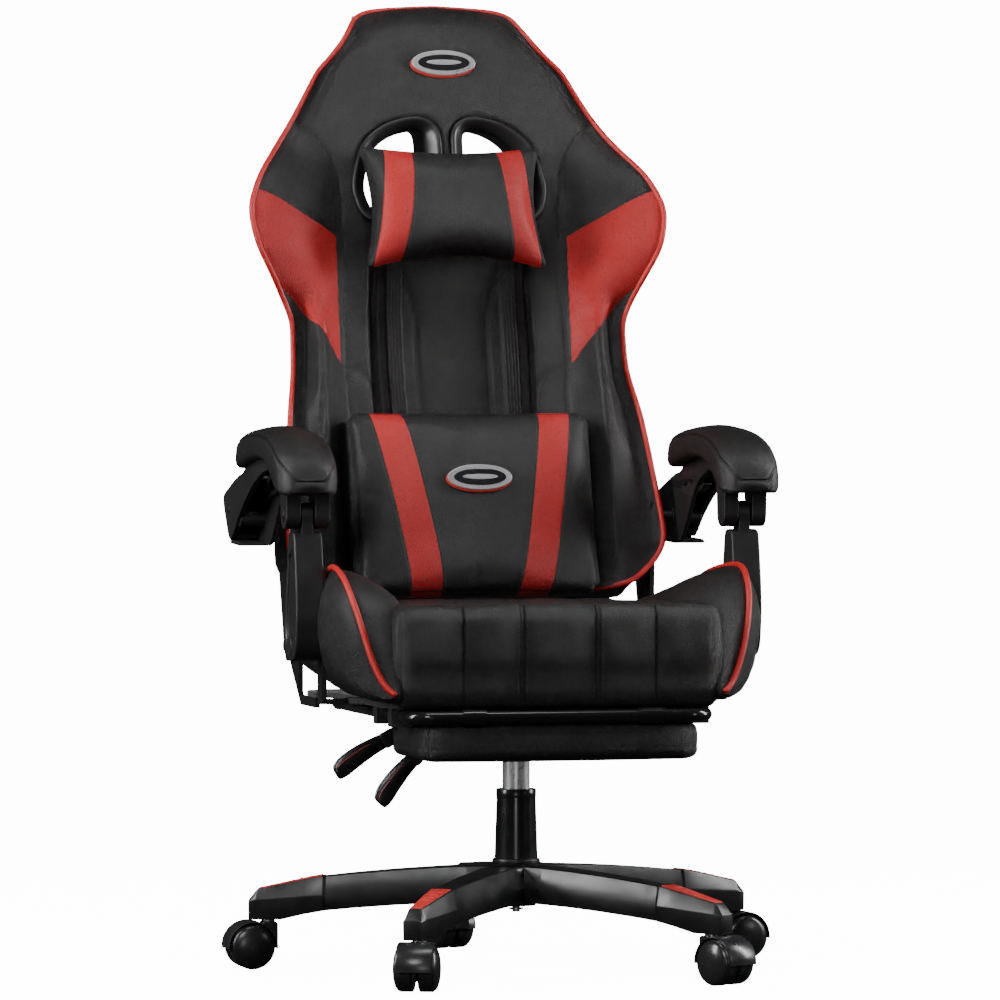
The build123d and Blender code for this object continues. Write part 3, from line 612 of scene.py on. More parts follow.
def metal(name, dark, light, roughness=0.25, metallic=1.0, brush=(1, 1, 1), bump=0.05):
    """Drawn or coated metal with faint streaks along one axis."""
    m = Nodes(name, Metallic=metallic)
    streaks = m.noise(500, 3, place=m.stretched(*brush))
    colour = m.mix(m.span(streaks, 0.3, 0.7), dark, light)
    smudge = m.noise(35, 4)
    rough = m.span(m.maths("ADD", m.maths("MULTIPLY", streaks, 0.4), m.maths("MULTIPLY", smudge, 0.6)),
                   0.3, 0.7, roughness * 0.7, roughness * 1.35)
    return m.finish(colour, rough, m.bump(streaks, bump, 0.0002))


def thread(name, dark, light):
    """Twisted sewing thread."""
    m = Nodes(name, Sheen_Weight=0.2)
    twist = m.noise(2600, 2)
    rough = m.span(m.noise(900, 1), 0.3, 0.7, 0.5, 0.75)
    return m.finish(m.mix(twist, dark, light), rough, m.bump(twist, 0.5, 0.0003))


def webbing(name, dark, light, pitch=1.6):
    """Flat woven elastic: ribs across and a finer thread along."""
    m = Nodes(name, Sheen_Weight=0.25)
    along = m.add("ShaderNodeTexWave", wave_type="BANDS", bands_direction="X")
    along.inputs["Scale"].default_value = 1000 / pitch / 6.28
    m.link(m.place, along.inputs["Vector"])
    weave = m.maths("ADD", along.outputs["Fac"], m.maths("MULTIPLY", m.noise(1500, 2), 0.6))
    return m.finish(m.mix(m.span(weave, 0.2, 1.4), dark, light), m.span(m.noise(300, 2), 0.3, 0.7, 0.6, 0.8),
                    m.bump(weave, 0.6, 0.0005))


def rubber(name, dark, light, roughness=0.55):
    m = Nodes(name, Specular_IOR_Level=0.4)
    dust = m.noise(120, 4)
    colour = m.mix(m.span(dust, 0.35, 0.75), dark, light)
    rough = m.span(dust, 0.3, 0.7, roughness - 0.08, roughness + 0.1)
    return m.finish(colour, rough, m.bump(m.noise(900, 3), 0.18, 0.0004))


def stage_finish(name, glow):
    """Pale matt studio paint that glows faintly."""
    m = Nodes(name, Specular_IOR_Level=0.1, Emission_Strength=glow)
    m.shader.inputs["Emission Color"].default_value = (1, 1, 1, 1)
    return m.finish(m.mix(m.noise(3, 2), (0.84, 0.84, 0.84), (0.86, 0.86, 0.86)),
                    m.span(m.noise(5, 2), 0.3, 0.7, 0.8, 0.9), m.bump(m.noise(60, 2), 0.01, 0.001))


RED_CORD_HIDE = ((0.56, 0.014, 0.014), (0.66, 0.022, 0.020))
HIDE = leather("black_hide", BLACK_HIDE, RED_HIDE)
RED_CORD = leather("red_piping", RED_CORD_HIDE, roughness=0.36, grain=1.6, bump=0.4, seams=False)
CHARCOAL = ((0.010, 0.010, 0.011), (0.016, 0.016, 0.017))
BASE_PLASTIC = plastic("base_nylon", (0.005, 0.005, 0.0055), (0.009, 0.009, 0.0095), roughness=0.34)
DARK_PLASTIC = plastic("dark_plastic", (0.009, 0.009, 0.010), (0.015, 0.015, 0.016), roughness=0.4)
SMOOTH_PLASTIC = plastic("smooth_plastic", *CHARCOAL, roughness=0.24, bump=0.05)
BEZEL_PLASTIC = plastic("bezel_plastic", (0.011, 0.011, 0.012), (0.017, 0.017, 0.018), roughness=0.38,
                        bump=0.18)
RED_PLASTIC = plastic("red_plastic", (0.50, 0.022, 0.018), (0.62, 0.035, 0.030), roughness=0.4, bump=0.25)
# Painted reflection: a near-white colour on a part-metal finish makes the chrome look bright, as if it
# mirrored a white studio.
CHROME = metal("chrome", (0.86, 0.86, 0.87), (0.95, 0.95, 0.96), roughness=0.3, metallic=0.4,
               brush=(1, 1, 0.1), bump=0.02)
STEEL = metal("bright_steel", (0.42, 0.42, 0.43), (0.60, 0.60, 0.61), roughness=0.3, brush=(0.2, 1, 1))
BLACK_STEEL = metal("black_steel", (0.012, 0.012, 0.013), (0.022, 0.022, 0.023), roughness=0.4, metallic=0.35)
GLOSS_STEEL = metal("gloss_black_steel", (0.009, 0.009, 0.010), (0.014, 0.014, 0.015), roughness=0.16,
                    metallic=0.2)
TREAD = rubber("caster_tread", (0.012, 0.012, 0.013), (0.022, 0.022, 0.022))
GLOSS_PLASTIC = plastic("column_plastic", *CHARCOAL, roughness=0.22, bump=0.04)
ARM_PLASTIC = plastic("arm_plastic", (0.011, 0.011, 0.012), (0.018, 0.018, 0.019), roughness=0.44, bump=0.22)
ARM_SKIN = leather("arm_skin", ((0.010, 0.010, 0.0105), (0.017, 0.017, 0.018)), roughness=0.38, grain=1.9,
                   bump=0.45)
CASTER_PLASTIC = plastic("caster_plastic", (0.010, 0.010, 0.011), (0.017, 0.017, 0.018), roughness=0.27,
                         bump=0.05)
DARK_RED = plastic("dark_red_inset", (0.10, 0.012, 0.010), (0.15, 0.018, 0.015), roughness=0.35)
BUSH = plastic("white_bush", (0.55, 0.54, 0.50), (0.65, 0.64, 0.60), roughness=0.4)
BOARD = webbing("seat_underlining", (0.010, 0.010, 0.011), (0.020, 0.020, 0.021), pitch=2.2)
BLACK_THREAD = thread("black_thread", (0.010, 0.010, 0.011), (0.030, 0.030, 0.032))
BADGE_SILVER = metal("badge_silver", (0.55, 0.55, 0.56), (0.70, 0.70, 0.71), roughness=0.34, metallic=0.6)
ELASTIC = webbing("elastic", (0.010, 0.010, 0.011), (0.024, 0.024, 0.026))


def dress(obj, *materials):
    """Give an object these materials in place of what it has."""
    obj.data.materials.clear()
    for material in materials:
        obj.data.materials.append(material)
    return obj


def plain_panel(obj, seam):
    """Fields of a leather piece that has no red panel; the leather paints shade along its seam field."""
    add_field(obj, "panel", np.full(len(obj.data.vertices), -10.0))
    add_field(obj, "seam", seam)


def place(obj, body, slot, *materials):
    """Material and body of a new piece; the slot argument is not used."""
    if materials:
        dress(obj, *materials)
    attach(obj, body)
    return obj


# ---------------------------------------------------------------- backrest

WING_PANEL = np.array([(152, 300), (152, 466), (171, 475), (200, 488), (228, 502), (256, 514), (292, 519),
                       (292, 444), (240, 398), (215, 378), (193, 351), (165, 318)], float)
SIDE_SEAM = np.array([(152, -20), (152, 545), (157, 572), (167, 595), (183, 613), (215, 628)], float)
APEX_SEAM = np.array([(152, 300), (137, 296), (124, 288), (116, 277), (112, 255), (111, 235)], float)
CENTRE_SEAM = np.array([(45, -20), (45, 340), (46.5, 366), (50, 386), (57, 406), (70, 424)], float)
CENTRE_SEAM_TWIN = np.array([(50, -20), (50, 340), (51.5, 366), (55, 384), (62, 402), (72, 414)], float)
# The fold at |x| = 111 is in the seam field too, so the leather paints shade along it.
FOLD_LINE = np.array([(111, -20), (111, 470)], float)
THROAT_RISE = 0.3
TAPER_LOW = 0.02
TAPER_HIGH = 0.34
RIB_STRIP = (70, 92)
RIB_TOP_S = 432
RIB_PITCH = 4.4
RIB_RISE = 4.5

WINDOW = smooth_polygon([(9, 500), (9, 604), (14, 616), (26, 623), (42, 624), (62, 620), (83, 612),
                         (100, 599), (112, 585), (121, 556), (127, 528), (118, 494), (108, 486), (22, 486),
                         (12, 490)], 72)


def crowned(row, x):
    """Height on the backrest of a grid row: near the top the rows bend to follow the top edge."""
    share = (row - TOP_START) / (BACK_TOP - TOP_START)
    return np.where(row > TOP_START, TOP_START + share * (TOP_EDGE(x) - TOP_START), row)


def back_columns():
    half = np.concatenate([[0, 3, 6, 9, 12], np.arange(16, 64, 4.2), np.arange(66, 97, 1.1), [98.5],
                           np.linspace(CENTRE_SPAN, SPAN, 46)])
    return np.concatenate([-half[:0:-1], half])


def back_seams(x, s):
    """Distance to the nearest seam or fold line on the backrest's front, at |x|; the leather paints shade
    along them.
    """
    closed_panel = np.vstack([WING_PANEL, WING_PANEL[:1]])
    lines = [closed_panel, SIDE_SEAM, APEX_SEAM, CENTRE_SEAM, CENTRE_SEAM_TWIN, FOLD_LINE]
    nearest = np.full(x.shape, 1e9)
    for line in lines:
        nearest = np.minimum(nearest, line_distance(x, s, line))
    return nearest


def build_backrest():
    tone = spaced(15, 0.5)
    grid, faces = box_surface(back_columns(), np.linspace(0, 1, 212), tone)
    t, v, w = grid.T
    row = v * BACK_TOP
    x = across_back(t, row)
    wide = np.abs(x)
    s = crowned(row, wide)
    front = front_depth(x, row)
    half = BACK_HALF(row)
    rim = step(0.86, 1.0, wide / half)
    low = step(26, 0, row)
    rear = REAR_DEPTH(row) + 20 * rim ** 2 + 16 * low ** 2 + 10 * step(758, BACK_TOP, row) ** 2
    rear -= 5 * np.cos(np.clip(wide / half, 0, 1) * math.pi / 2)

    strip = step(RIB_STRIP[0] - 1.5, RIB_STRIP[0] + 1, wide)
    strip *= step(RIB_STRIP[1] + 1.5, RIB_STRIP[1] - 1, wide)
    strip *= step(RIB_TOP_S + 10, RIB_TOP_S - 14, s)
    ribs = 0.5 - 0.5 * np.cos((wide - RIB_STRIP[0]) / RIB_PITCH * 2 * math.pi)
    seams = back_seams(wide, s)
    edge = np.minimum(half - wide, 40)
    puff = 1.6 * (1 - np.exp(-(seams / 13) ** 1.3)) - 1.9 * np.exp(-(seams / 2.4) ** 2)
    fold = 5.0 * np.exp(-((wide - 111) / 5) ** 2) * step(470, 430, s)
    front = front + (puff + strip * (RIB_RISE + 0.9 * ribs) - fold) * step(0, 9, edge)
    around = inside_distance(wide, s, WINDOW)
    front -= 7 * step(-11, 0, around) ** 2
    front += 0.5 * ripple(np.stack([x, s, 0 * s], -1), 46, 3) * step(0, 20, edge)

    depth = rear + (front - rear) * (w + 1) / 2
    side = np.abs(t) >= SPAN - 0.01
    swell = (1 - w * w) * np.where(row < 120, 2.0, 4.5)
    pull = 9 * step(-0.55, -1, w) ** 2
    taper = TAPER_LOW + (TAPER_HIGH - TAPER_LOW) * step(130, 260, row)
    taper *= 1 - 0.5 * step(600, 700, row)
    x = x * (1 - taper * np.maximum(PIPING_DEPTH(row) - depth, 0) / half)
    x = x + np.sign(x) * side * (swell - pull)
    s = s + np.where(v >= 1, 3.5 * (1 - w * w) - pull * 0.6, 0)
    s = s - np.where(v <= 0, 3 * (1 - w * w) - pull * 0.5, 0)
    points = on_back(x, s, depth)
    back = make_object("backrest", points, faces)
    cut_windows(back)

    local = positions(back) - BACK_FOOT
    x, s, d = local[:, 0], local @ BACK_UP, local @ BACK_FORWARD
    wide = np.abs(x)
    facing = d > front_depth(x, np.clip(s, 0, BACK_TOP)) - 9
    add_field(back, "panel", np.where(facing, inside_distance(wide, s, WING_PANEL), -10))
    seams = np.where(facing, back_seams(wide, s), 20)
    rear_seam = np.abs(inside_distance(wide, s, rear_panel()))
    behind = d < REAR_DEPTH(np.clip(s, 0, BACK_TOP)) + 16
    add_field(back, "seam", np.where(behind & ~facing, rear_seam, seams))
    dress(back, HIDE)
    place(back, "back", "back_leather")
    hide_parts("back_cushion", "back_shell")


def rear_panel():
    """Outline of the panel sewn into the back's rear face."""
    rows = np.linspace(40, 742, 60)
    side = np.stack([BACK_HALF(rows) - 34, rows], -1)
    return np.vstack([[(-5, 40)], side, [(-5, 742)]])


def window_ring(inset, depth, sign):
    """Outline of a head window at some depth. The throat rises to the rear, so that it looks level."""
    centre = WINDOW.mean(0)
    ahead = np.roll(WINDOW, -1, 0) - np.roll(WINDOW, 1, 0)
    inward = np.stack([-ahead[:, 1], ahead[:, 0]], -1)
    inward /= np.linalg.norm(inward, axis=1, keepdims=True)
    inward *= np.sign(np.sum(inward * (centre - WINDOW), axis=1))[:, None]
    ring = WINDOW + inward * inset
    return on_back(ring[:, 0] * sign, ring[:, 1] + THROAT_RISE * max(-depth, 0), depth)


def cut_windows(back):
    """Cut both head windows through the padding."""
    for _, sign in SIDES:
        rings = [window_ring(0, depth, sign) for depth in (-180, 0, 80)]
        cutter = make_object("cutter", np.concatenate(rings), ring_faces(3, len(WINDOW)), smooth=False)
        tidy_normals(cutter)
        carve(back, cutter)
    smooth_shading(back, 50)


def front_edge_path(lift=0.0):
    """Line of the front piping: up the right side, over the top, down the left and along the foot."""
    rows = np.concatenate([np.linspace(0, 60, 12), np.linspace(68, 752, 110), np.linspace(757, BACK_TOP, 8)])
    half = BACK_HALF(rows)
    side = np.stack([half, crowned(rows, half), PIPING_DEPTH(rows)], -1)
    top_x = np.linspace(BACK_HALF(BACK_TOP), -BACK_HALF(BACK_TOP), 30)[1:-1]
    top = np.stack([top_x, TOP_EDGE(np.abs(top_x)), 0 * top_x + PIPING_DEPTH(BACK_TOP)], -1)
    foot_x = np.linspace(-BACK_HALF(0), BACK_HALF(0), 30)[1:-1]
    foot = np.stack([foot_x, 0 * foot_x, front_depth(foot_x, 0 * foot_x)], -1)
    left = side[::-1] * (-1, 1, 1)
    line = np.vstack([side, top, left, foot])
    for _ in range(3):
        line = (np.roll(line, 1, 0) + 2 * line + np.roll(line, -1, 0)) / 4
    return on_back(line[:, 0] * (1 + lift / 250), line[:, 1], line[:, 2])


def build_back_piping():
    piping = tube("back_piping", front_edge_path(lift=1.4), 3.7, sides=10, closed=True)
    place(piping, "back", "red_leather", RED_CORD)


def window_bezel(side, sign):
    """Moulded lining of a head window: rounded lip, sloping face, throat and rear flange."""
    profile = [(-2.5, -5), (-3.2, 0.5), (-2.0, 2.6), (0.5, 3.2), (3.0, 2.2), (13, -8), (16.5, -14),
               (17.5, -22), (15.5, -60), (13.5, -92), (9, -104), (2, -108.5), (-3.5, -107), (-4, -103),
               (2, -101), (6, -92), (9, -40), (8, -16), (1, -7)]
    rings = [window_ring(inset, depth, sign) for inset, depth in profile]
    faces = ring_faces(len(profile), len(WINDOW), closed=True)
    bezel = make_object(f"window_bezel_{side}", np.concatenate(rings), faces)
    tidy_normals(bezel)
    subdivide(bezel, 1)
    place(bezel, "back", "bezel_plastic", BEZEL_PLASTIC)
    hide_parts(f"head_window_bezel_{side}")


# ---------------------------------------------------------------- shared soft-goods helpers


def cage_surface(name, rings, levels=3, crease=None):
    """Closed subdivision surface over rings of points. The line of points at index crease stays sharp,
    and its finished course comes back as a path."""
    rings = np.asarray(rings, float)
    count, around = rings.shape[:2]
    obj = make_object(name, rings.reshape(-1, 3), ring_faces(count, around))
    tidy_normals(obj)
    if crease is not None:
        on_ridge = {i * around + crease for i in range(count)}
        sharp = [1.0 if set(edge.vertices) <= on_ridge else 0.0 for edge in obj.data.edges]
        obj.data.attributes.new("crease_edge", "FLOAT", "EDGE").data.foreach_set("value", sharp)
        order = np.repeat(np.arange(count), around)
        add_field(obj, "order", order)
        add_field(obj, "ridge", np.tile(np.arange(around) == crease, count))
    subdivide(obj, levels)
    if crease is None:
        return obj, None
    ridge = np.zeros(len(obj.data.vertices), np.float32)
    order = np.zeros(len(obj.data.vertices), np.float32)
    obj.data.attributes["ridge"].data.foreach_get("value", ridge)
    obj.data.attributes["order"].data.foreach_get("value", order)
    on_line = np.where(ridge > 0.999)[0]
    path = positions(obj)[on_line[np.argsort(order[on_line])]]
    for extra in ("ridge", "order"):
        obj.data.attributes.remove(obj.data.attributes[extra])
    return obj, path


def surface_points(obj, starts, direction):
    """Where rays from starts (millimetres) first meet the object, with the normals there."""
    work = bmesh.new()
    work.from_mesh(obj.data)
    tree = BVHTree.FromBMesh(work)
    work.free()
    found = []
    normals = []
    aim = Vector(direction)
    for start in starts:
        hit, normal, _, _ = tree.ray_cast(Vector(np.asarray(start) * MM), aim)
        if hit is not None:
            found.append(np.array(hit) / MM)
            normals.append(np.array(normal) if normal.dot(aim) < 0 else -np.array(normal))
    return np.array(found), np.array(normals)


def inflate(obj, pressure, cap, pinned=None, tension=25.0):
    """Blow the piece up with a short cloth simulation; no point moves further than cap millimetres."""
    before = positions(obj)
    cloth = obj.modifiers.new("air", "CLOTH")
    settings = cloth.settings
    settings.quality = 6
    settings.mass = 0.4
    settings.tension_stiffness = tension
    settings.compression_stiffness = tension
    settings.shear_stiffness = tension / 3
    settings.bending_stiffness = 0.8
    settings.tension_damping = 25
    settings.compression_damping = 25
    settings.air_damping = 6
    settings.use_pressure = True
    settings.uniform_pressure_force = pressure
    settings.effector_weights.gravity = 0
    cloth.collision_settings.use_collision = False
    cloth.point_cache.frame_start = 1
    cloth.point_cache.frame_end = 20
    if pinned is not None:
        group = obj.vertex_groups.new(name="held")
        for index in np.where(pinned)[0]:
            group.add([int(index)], 1.0, "REPLACE")
        settings.vertex_group_mass = "held"
    scene = bpy.context.scene
    for frame_number in range(1, 21):
        scene.frame_set(frame_number)
        bpy.context.view_layer.update()
    graph = bpy.context.evaluated_depsgraph_get()
    after = np.zeros(len(before) * 3)
    obj.evaluated_get(graph).data.vertices.foreach_get("co", after)
    after = after.reshape(-1, 3) / MM
    obj.modifiers.clear()
    obj.vertex_groups.clear()
    scene.frame_set(1)
    move = after - before
    far = np.linalg.norm(move, axis=1, keepdims=True)
    move = move * (cap * np.tanh(far / cap) / np.maximum(far, 1e-6))
    set_positions(obj, before + move)


def relax(obj, rounds, factor=0.5):
    """Even out small unevenness after a simulation."""
    smooth = obj.modifiers.new("relax", "SMOOTH")
    smooth.iterations = rounds
    smooth.factor = factor
    bake_modifiers(obj)


def round_plan(points, half, corner):
    """Round the four upright corners of a box-shaped set of points centred on the origin."""
    inner = np.array(half[:2], float) - corner
    over = np.maximum(np.abs(points[:, :2]) - inner, 0)
    length = np.maximum(np.linalg.norm(over, axis=1), 1e-6)
    scale = (over.max(1) / length)[:, None]
    rounded = np.sign(points[:, :2]) * (inner + over * scale)
    in_corner = over.min(1) > 0
    points[in_corner, :2] = rounded[in_corner]
    return points


# ---------------------------------------------------------------- seat

SEAT_HALF_FRONT = 203
SEAT_HALF_REAR = 178
SEAT_BOARD_LOW = 334
SEAT_BOARD_HIGH = 341
SEAT_FRONT_Y = -223
SEAT_REAR_Y = 204
SEAT_BOTTOM_Z = 341.5
SEAT_TOP_Z = 457
SEAT_SEAMS = (44.5, 120)
SEAT_TWIN_SEAM = 50


def seat_seam_distance(x):
    wide = np.abs(x)
    return np.minimum(np.abs(wide - SEAT_SEAMS[0]), np.abs(wide - SEAT_SEAMS[1]))


def build_seat_cushion():
    half = np.array([SEAT_HALF_FRONT, (SEAT_REAR_Y - SEAT_FRONT_Y) / 2, (SEAT_TOP_Z - SEAT_BOTTOM_Z) / 2])
    centre = np.array([0, (SEAT_REAR_Y + SEAT_FRONT_Y) / 2, (SEAT_TOP_Z + SEAT_BOTTOM_Z) / 2])
    fine = []
    for seam in (*SEAT_SEAMS, SEAT_TWIN_SEAM):
        fine += [seam + step for step in (-5, -3, -1.6, -0.7, 0, 0.7, 1.6, 3, 5)]
    rim = [SEAT_HALF_FRONT - step for step in (5, 3, 1.5, 0.5, 0)]
    columns = np.unique(np.round(np.concatenate([np.arange(0, SEAT_HALF_FRONT - 6, 4.5), fine, rim]), 1))
    columns = np.concatenate([-columns[:0:-1], columns]) / SEAT_HALF_FRONT
    grid, faces = box_surface(columns, spaced(120, 0.35), spaced(30, 0.45))
    points = soft_shape(grid, half, 17) + centre
    x, y, z = points.T
    tuck = step(-175, -95, y)
    x = x * (1 + (SEAT_HALF_REAR / SEAT_HALF_FRONT - 1) * tuck)
    low_part = np.sin(np.clip((z - SEAT_BOTTOM_Z) / (SEAT_TOP_Z - SEAT_BOTTOM_Z), 0, 1) ** 0.85 * math.pi)
    x = x + np.sign(x) * 3.5 * low_part * (np.abs(grid[:, 0]) > 0.999) * (1 - tuck)
    height = np.clip((z - SEAT_BOTTOM_Z) / (SEAT_TOP_Z - SEAT_BOTTOM_Z), 0, 1)
    forward = step(-120, -214, y)
    seams = seat_seam_distance(x)
    twin = np.abs(np.abs(x) - SEAT_TWIN_SEAM)
    inner = step(4, 16, SEAT_HALF_FRONT - np.abs(x))
    puff = 1.3 * (1 - np.exp(-(seams / 17) ** 1.4))
    puff -= 1.5 * np.exp(-(seams / 1.5) ** 2)
    puff -= 0.7 * np.exp(-(twin / 1.1) ** 2)
    crown = 3.5 * (1 - (x / SEAT_HALF_FRONT) ** 2)
    skin = ripple(points, 42, 11) * 0.35 + ripple(points, 17, 12) * 0.12
    z = z + step(0.6, 1.0, height) * ((puff * (0.35 + 0.65 * forward) + skin) * inner + crown * 0.5
                                     - 5 * step(-150, 120, y) + 3.0 * np.exp(-((y + 130) / 90) ** 2))
    belly = np.sin(np.clip(height, 0, 1) * math.pi)
    y = y - forward * ((puff * inner + skin) * step(0.02, 0.2, height) * (0.6 + 0.4 * step(376, 396, z))
                       + 2.2 * belly * step(372, 400, z)) * step(-190, -216, y)
    z = z - 7.9 * step(-203, -210, y) * step(0.16, 0.0, height)
    cushion = make_object("seat_cushion_cover", np.stack([x, y, z], -1), faces)
    side = np.abs(np.abs(points[:, 0]) - (SEAT_HALF_FRONT - 7)) + 6 * step(-196, -170, y)
    seam_field = np.minimum(seams, twin + 0.35)
    seam_field = np.where(step(-120, -150, y) > 0, np.minimum(seam_field, side), seam_field)
    plain_panel(cushion, np.where(z < SEAT_BOTTOM_Z + 2, 20, seam_field))
    place(cushion, "seat", "black_leather", HIDE)
    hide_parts("seat_cushion")
    rows = []
    for offset in (SEAT_TWIN_SEAM + 2.6, SEAT_SEAMS[0] - 3.0):
        for sign in (-1, 1):
            drop = [(sign * offset, -300, height) for height in np.arange(352, 440, 3.0)]
            path, normals = surface_points(cushion, drop, (0, 1, 0))
            rows.append(stitch_row("seat_stitches", path, normals))
    place(join("seat_stitching", rows), "seat", "stitching", BLACK_THREAD)


# Rings of the right bolster, front to rear: eight points round, the fifth on the piped ridge
BOLSTER_RINGS = [
    [(196, -219, 344), (196, -222, 348), (197, -225, 352), (199, -227, 353),
     (202, -228, 352), (206, -225, 349), (208, -222, 345), (203, -219, 343)],
    [(190, -205, 342), (190, -208, 356), (195, -217, 366), (203, -221, 364),
     (213, -221, 357), (222, -212, 352), (226, -205, 348), (218, -198, 342)],
    [(184, -190, 342), (186, -194, 372), (193, -212, 392), (208, -216, 390),
     (225, -213, 378), (237, -201, 368), (240, -192, 356), (228, -184, 342)],
    [(178, -175, 342), (182, -182, 395), (192, -208, 418), (211, -212, 416),
     (234, -208, 405), (249, -194, 396), (252, -182, 368), (236, -170, 342)],
    [(174, -160, 342), (178, -170, 415), (190, -200, 440), (213, -204, 442),
     (241, -201, 434), (258, -184, 424), (260, -168, 378), (240, -158, 342)],
    [(172, -145, 342), (176, -158, 432), (188, -186, 456), (214, -190, 463),
     (247, -188, 459), (266, -170, 446), (268, -155, 386), (243, -148, 342)],
    [(170, -128, 342), (175, -145, 445), (185, -166, 464), (214, -168, 480),
     (251, -167, 482), (273, -152, 462), (274, -140, 392), (245, -134, 342)],
    [(170, -110, 342), (174, -130, 452), (183, -148, 466), (213, -144, 489),
     (254, -141, 499), (278, -130, 470), (278, -120, 396), (247, -116, 342)],
    [(170, -86, 342), (173, -108, 455), (181, -122, 466), (213, -114, 494),
     (256, -108, 505), (278, -104, 470), (277, -100, 398), (246, -94, 342)],
    [(170, -50, 342), (172, -72, 455), (179, -84, 466), (212, -72, 492),
     (250, -66, 501), (256, -66, 464), (255, -64, 400), (243, -62, 344)],
    [(170, 0, 342), (171, -20, 450), (177, -26, 462), (211, -20, 485),
     (244, -19, 494), (251, -19, 460), (250, -19, 400), (242, -10, 347)],
    [(170, 45, 342), (171, 32, 444), (176, 32, 458), (210, 32, 475),
     (241, 32, 481), (250, 32, 454), (250, 32, 402), (243, 36, 353)],
    [(170, 95, 342), (171, 90, 438), (176, 90, 454), (209, 90, 463),
     (239, 90, 466), (250, 90, 446), (249, 90, 406), (243, 90, 361)],
    [(170, 172, 342), (171, 172, 430), (176, 172, 446), (207, 172, 449),
     (236, 172, 451), (248, 172, 436), (248, 172, 404), (241, 172, 368)],
    [(172, 203, 346), (172, 203, 420), (178, 203, 436), (206, 203, 439),
     (230, 203, 440), (242, 203, 426), (242, 203, 404), (235, 203, 374)],
]


def build_seat_board():
    """Board under the seat with ears where the strut brackets and the hinge brackets meet it."""
    half = [(0, -205), (150, -205), (186, -196), (204, -168), (205, -60), (227.5, -53), (227.5, -23),
            (206, -16), (206, 104), (227.5, 112), (227.5, 186), (212, 194), (200, 203), (0, 203)]
    outline = half + [(-x, y) for x, y in half[-2:0:-1]]
    board = bevelled_prism("seat_board_cover", smooth_polygon(outline, 220), SEAT_BOARD_LOW,
                           SEAT_BOARD_HIGH, 1.4, axis=2)
    place(board, "seat", "seat_board", BOARD)
    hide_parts("seat_pan")
    cloth_edge = [(0, -103), (150, -103), (164, -96), (168, -80), (168, 150), (150, 180), (0, 180)]
    outline = cloth_edge + [(-x, y) for x, y in cloth_edge[-2:0:-1]]
    cover = bevelled_prism("seat_dust_cover", smooth_polygon(outline, 160), SEAT_BOARD_LOW - 10,
                           SEAT_BOARD_LOW + 1, 2.0, axis=2)
    place(cover, "seat", "seat_board", BOARD)


def build_bolster(side, sign):
    rings = np.array(BOLSTER_RINGS, float) * (sign, 1, 1)
    bolster, ridge = cage_surface(f"seat_bolster_cover_{side}", rings, levels=4, crease=4)
    points = positions(bolster)
    work = bmesh.new()
    work.from_mesh(bolster.data)
    normals = np.array([vertex.normal[:] for vertex in work.verts])
    work.free()
    far = np.full(len(points), 1e9)
    for point in ridge[::2]:
        far = np.minimum(far, np.linalg.norm(points - point, axis=1))
    low = step(342, 352, points[:, 2])
    skin = (ripple(points, 60, 21) * 0.55 + ripple(points, 22, 22) * 0.2) * step(3, 22, far) * low
    sink = -1.6 * np.exp(-(far / 5.5) ** 2)
    set_positions(bolster, points + normals * (skin + sink)[:, None])
    lower_seam = np.abs(points[:, 2] - 352 - 6 * np.sin(points[:, 1] / 120))
    plain_panel(bolster, np.where(np.abs(points[:, 0]) > 205, lower_seam, 20))
    place(bolster, "seat", "black_leather", HIDE)
    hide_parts(f"seat_bolster_{side}")
    path = smooth_line(ridge, 150, rounds=1)
    place(tube(f"seat_piping_{side}", path, 3.8, sides=12), "seat", "red_leather", RED_CORD)


# ---------------------------------------------------------------- footrest


def build_footrest_pad():
    low = np.array([-174.0, -236, 272.5])
    high = np.array([174.0, -52, 315.5])
    grid, faces = box_surface(spaced(110, 0.4), spaced(70, 0.4), spaced(16, 0.4))
    centre = (low + high) / 2
    half = (high - low) / 2
    points = soft_shape(grid, half, 11)
    points = round_plan(points, half, 26) + centre
    pad = make_object("footrest_cushion", points, faces)
    inflate(pad, pressure=1.5, cap=2.5, pinned=points[:, 2] > 312)
    now = positions(pad)
    now[:, 2] = np.minimum(now[:, 2], 315.2)
    now[:, 1] = np.maximum(now[:, 1], -237)
    seam = np.minimum(np.abs(points[:, 2] - 287), np.abs(points[:, 2] - 307))
    groove = np.exp(-(seam / 1.6) ** 2) * 1.0
    flat = now[:, :2] - centre[:2]
    now[:, :2] -= flat / np.maximum(np.linalg.norm(flat, axis=1, keepdims=True), 1e-6) * groove[:, None]
    set_positions(pad, now)
    plain_panel(pad, seam)
    place(pad, "footrest_board", "black_leather", HIDE)
    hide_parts("footrest_pad")


# ---------------------------------------------------------------- pillows

HEAD_STRIPE = curve((410, 94), (417, 93), (482, 81), (570, 73), (590, 72))
LUMBAR_STRIPE = curve((-14, 70), (230, 111.5))
HEAD_STRIPE_HALF = 18
LUMBAR_STRIPE_HALF = 20.5


def pillow_points(grid, half_x, half_s, centre_s, waist, front, rear, edge, shape):
    """Cushion between a crowned front and a flatter rear; its sides and ends draw in by waist."""
    w = grid[:, 2]
    plan = round_plan(grid[:, :2] * (half_x, half_s), (half_x, half_s), 15)
    u, v = plan[:, 0] / half_x, plan[:, 1] / half_s
    x = u * (half_x - waist[0] * (1 - v * v))
    s = centre_s + v * (half_s - np.where(v > 0, waist[1], waist[2]) * (1 - u * u))
    crown = ((1 - np.abs(u) ** shape) * (1 - np.abs(v) ** shape)).clip(0, 1) ** 0.5
    front_face = edge + (front - edge) * crown
    rear_face = edge + (rear - edge) * crown ** 0.6
    return x, s, rear_face + (front_face - rear_face) * (w + 1) / 2


